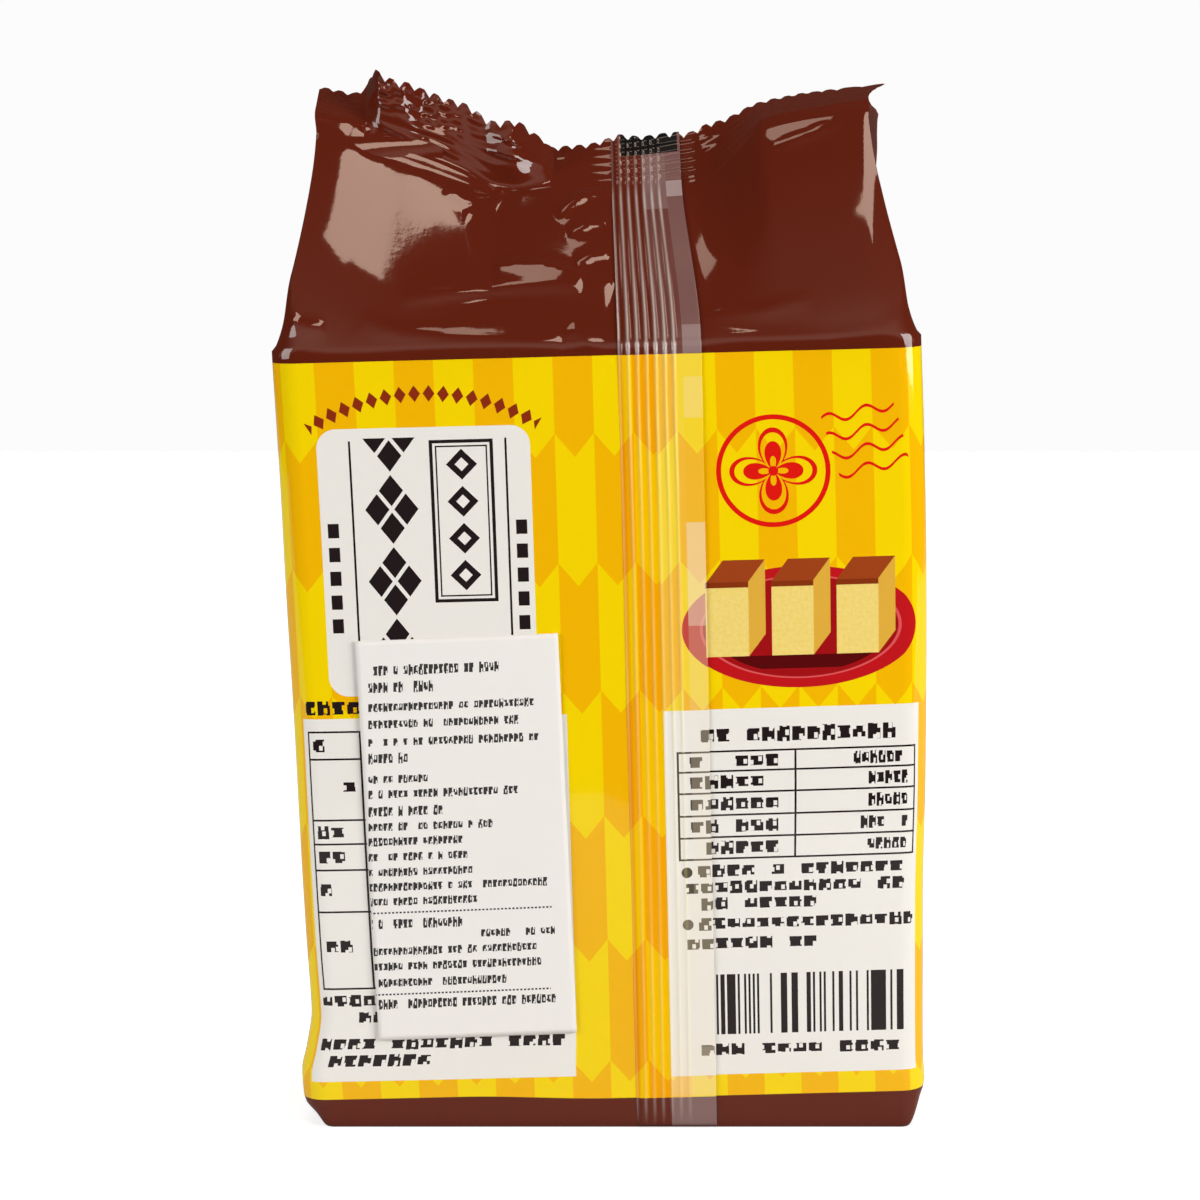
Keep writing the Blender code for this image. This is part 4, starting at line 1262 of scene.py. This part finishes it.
def fin_seal(material):
    """The ribbed lengthwise seal, folded flat on the film."""
    rng = np.random.default_rng(SEED)
    rows = [row for row in wrap_rows(rng) if row.length > FIN_START]
    columns = FIN_CELLS + 1
    share = np.linspace(0.0, 1.0, columns)
    points = []
    places = []
    for row in rows:
        narrow = float(ease(BLOCK_HEIGHT, GableRow(1.0).length, row.length))
        left = FIN_LEFT - FIN_NARROWS_LEFT * narrow
        right = FIN_RIGHT - FIN_NARROWS_RIGHT * narrow
        points.append(row.panel(left + (right - left) * share, -1))
        places += [(FIN_LEFT + (FIN_RIGHT - FIN_LEFT) * a, row.length) for a in share]
    points = np.array(points)
    places = np.array(places)
    root = ease(0.0, FIN_ROOT_RISE, (FIN_RIGHT - FIN_LEFT) * share)[None, :, None]
    points = points + FIN_LIFT * (FIN_ROOT_SHARE + (1.0 - FIN_ROOT_SHARE) * root) * grid_normals(points)
    points[..., 2] = np.maximum(points[..., 2], FIN_CLEARANCE)
    faces = sheet_faces(len(rows), columns)
    corners = corner_places(faces, places.tolist())
    piece = make_piece("fin_seal", points.reshape(-1, 3).tolist(), faces, corners, material)
    for name, values in (("across", places[:, 0]), ("press", through(RIB_PRESS, places[:, 1]))):
        attribute = piece.data.attributes.new(name, "FLOAT", "POINT")
        attribute.data.foreach_set("value", values.astype(np.float32))
    values = {"First rib": FIRST_RIB, "Rib pitch": RIB_PITCH, "Rib count": RIB_COUNT - 0.5,
              "Rib height": RIB_HEIGHT * MM, "Rib width": RIB_WIDTH, "Slack": RIB_SLACK, "Film": material}
    made_plain(piece, rib_tree(), values)
    thicken(piece, FIN_FILM)
    mount(piece)


def paper_label(material):
    """The stuck label: a thin sheet that follows the film."""
    columns, rows = LABEL_CELLS
    u = np.linspace(-0.5, 0.5, columns + 1) * LABEL_WIDTH
    v = np.linspace(-0.5, 0.5, rows + 1) * LABEL_HEIGHT
    u, v = np.meshgrid(u, v)
    x = LABEL_CENTRE[0] + u * math.cos(LABEL_TURN) - v * math.sin(LABEL_TURN)
    z = LABEL_CENTRE[1] + v * math.cos(LABEL_TURN) + u * math.sin(LABEL_TURN)
    y = -(face_reach(z) + bulge(np.clip(x / FLAT_HALF, -1.0, 1.0), z)) - LABEL_LIFT
    points = np.stack((x, y, z), axis=-1).reshape(-1, 3).tolist()
    faces = sheet_faces(rows + 1, columns + 1)
    places = np.stack((u, v), axis=-1).reshape(-1, 2).tolist()
    piece = make_piece("label_sheet", points, faces, corner_places(faces, places), material)
    thicken(piece, LABEL_THICKNESS)
    mount(piece)
    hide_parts("paper_label")


# Floor: (left, near, right, far) in metres, and how much of its white it gives by itself
FLOOR = (-0.7, -0.24, 0.7, 0.9)
FLOOR_GLOW = 0.75
BACKDROP = (0.97, 0.97, 0.97, 1.0)
ROOM_SHADE = (0.06, 0.06, 0.06, 1.0)

# What the film mirrors of the room: (degrees up from the front over the top to the back, brightness)
ROOM_TINT = (1.0, 0.76, 0.66)
ROOM_GLOW = [(0.0, 0.06), (10.0, 0.06), (24.0, 1.0), (42.0, 0.8), (58.0, 0.3), (76.0, 0.08), (150.0, 0.06)]

# Soft lights: name, place in metres, tilt and turn in degrees, size, power, colour, seen in the film
SOFT_WARM = (1.0, 0.99, 0.97)
ROSY = (1.0, 0.76, 0.6)
LIGHTS = [("key_right", (0.72, -0.486, 0.31), 75.0, 56.0, (0.5, 0.5), 7.2, SOFT_WARM, True),
          ("key_left", (-0.72, -0.486, 0.31), 75.0, -56.0, (0.5, 0.5), 4.5, SOFT_WARM, True),
          ("gable_box", (0.145, -0.178, 0.8), 0.0, 62.0, (0.3, 0.134), 0.9, ROSY, True),
          ("crease_box", (-0.1, -0.005, 0.8), 0.0, -10.0, (0.12, 0.1), 0.14, ROSY, True),
          ("back_fill", (0.0, 0.75, 0.9), -43.0, 0.0, (0.9, 0.7), 9.0, SOFT_WARM, False)]

# The camera, in metres and millimetres of lens
CAMERA_PLACE = (-0.00305, -0.47746, 0.16931)
CAMERA_TILT = math.radians(80.0)
CAMERA_LENS = 84.99


def lay_floor():
    """Plain pale floor that looks white to the camera."""
    mesh = bpy.data.meshes.new("floor")
    left, near, right, far = FLOOR
    corners = [(left, near, 0.0), (right, near, 0.0), (right, far, 0.0), (left, far, 0.0)]
    mesh.from_pydata(corners, [], [(0, 1, 2, 3)])
    floor = bpy.data.objects.new("floor", mesh)
    bpy.context.scene.collection.objects.link(floor)
    material, tree, shader = new_material("matte_floor_paint", 0.9)
    shader.inputs["Base Color"].default_value = linear("bcbcbc")
    shader.inputs["Emission Color"].default_value = WHITE
    seen = add(tree, "ShaderNodeLightPath").outputs["Is Camera Ray"]
    glow = add(tree, "MULTIPLY", (seen, FLOOR_GLOW))
    tree.links.new(glow.outputs[0], shader.inputs["Emission Strength"])
    mesh.materials.append(material)


def surround():
    """White backdrop for the camera, and a dim room with a warm glow for the film's mirror."""
    world = bpy.data.worlds.new("studio")
    world.use_nodes = True
    tree = world.node_tree
    way = add(tree, "ShaderNodeTexCoord").outputs["Generated"]
    way = add(tree, "ShaderNodeSeparateXYZ", (way,)).outputs
    front = add(tree, "MULTIPLY", (way[1], -1.0))
    climb = add(tree, "DIVIDE", (add(tree, "ARCTAN2", (way[2], front)), math.pi))
    red, green, blue = ROOM_TINT
    stops = [(degrees / 180.0, (share * red, share * green, share * blue, 1.0))
             for degrees, share in ROOM_GLOW]
    ramp = ramp_of(tree, climb, stops, "LINEAR")
    rays = add(tree, "ShaderNodeLightPath").outputs
    room = paint(tree, ROOM_SHADE, rays["Is Glossy Ray"], ramp.outputs["Color"])
    seen = paint(tree, room, rays["Is Camera Ray"], BACKDROP)
    tree.links.new(seen.outputs[2], tree.nodes["Background"].inputs["Color"])
    bpy.context.scene.world = world


def hang_lights():
    """The soft lights of the studio."""
    for name, place, tilt, turn, size, power, colour, mirrored in LIGHTS:
        light = bpy.data.lights.new(name, "AREA")
        light.shape = "RECTANGLE"
        light.size, light.size_y = size
        light.color = colour
        light.energy = power
        lamp = bpy.data.objects.new(name, light)
        lamp.location = place
        lamp.rotation_euler = (math.radians(tilt), 0.0, math.radians(turn))
        lamp.visible_glossy = mirrored
        bpy.context.scene.collection.objects.link(lamp)


def set_camera():
    """Camera at the photograph's angle."""
    camera = bpy.data.cameras.new("camera")
    camera.sensor_width = 36.0
    camera.lens = CAMERA_LENS
    eye = bpy.data.objects.new("camera", camera)
    eye.location = CAMERA_PLACE
    eye.rotation_euler = (CAMERA_TILT, 0.0, 0.0)
    bpy.context.scene.collection.objects.link(eye)
    bpy.context.scene.camera = eye
    bpy.context.scene.view_settings.view_transform = "Standard"


film_print = print_group()
film = gloss_film(film_print)
film_wrap(film)
end_fold(film)
fin_seal(fin_film(film_print))
paper_label(label_paper())
lay_floor()
surround()
hang_lights()
set_camera()
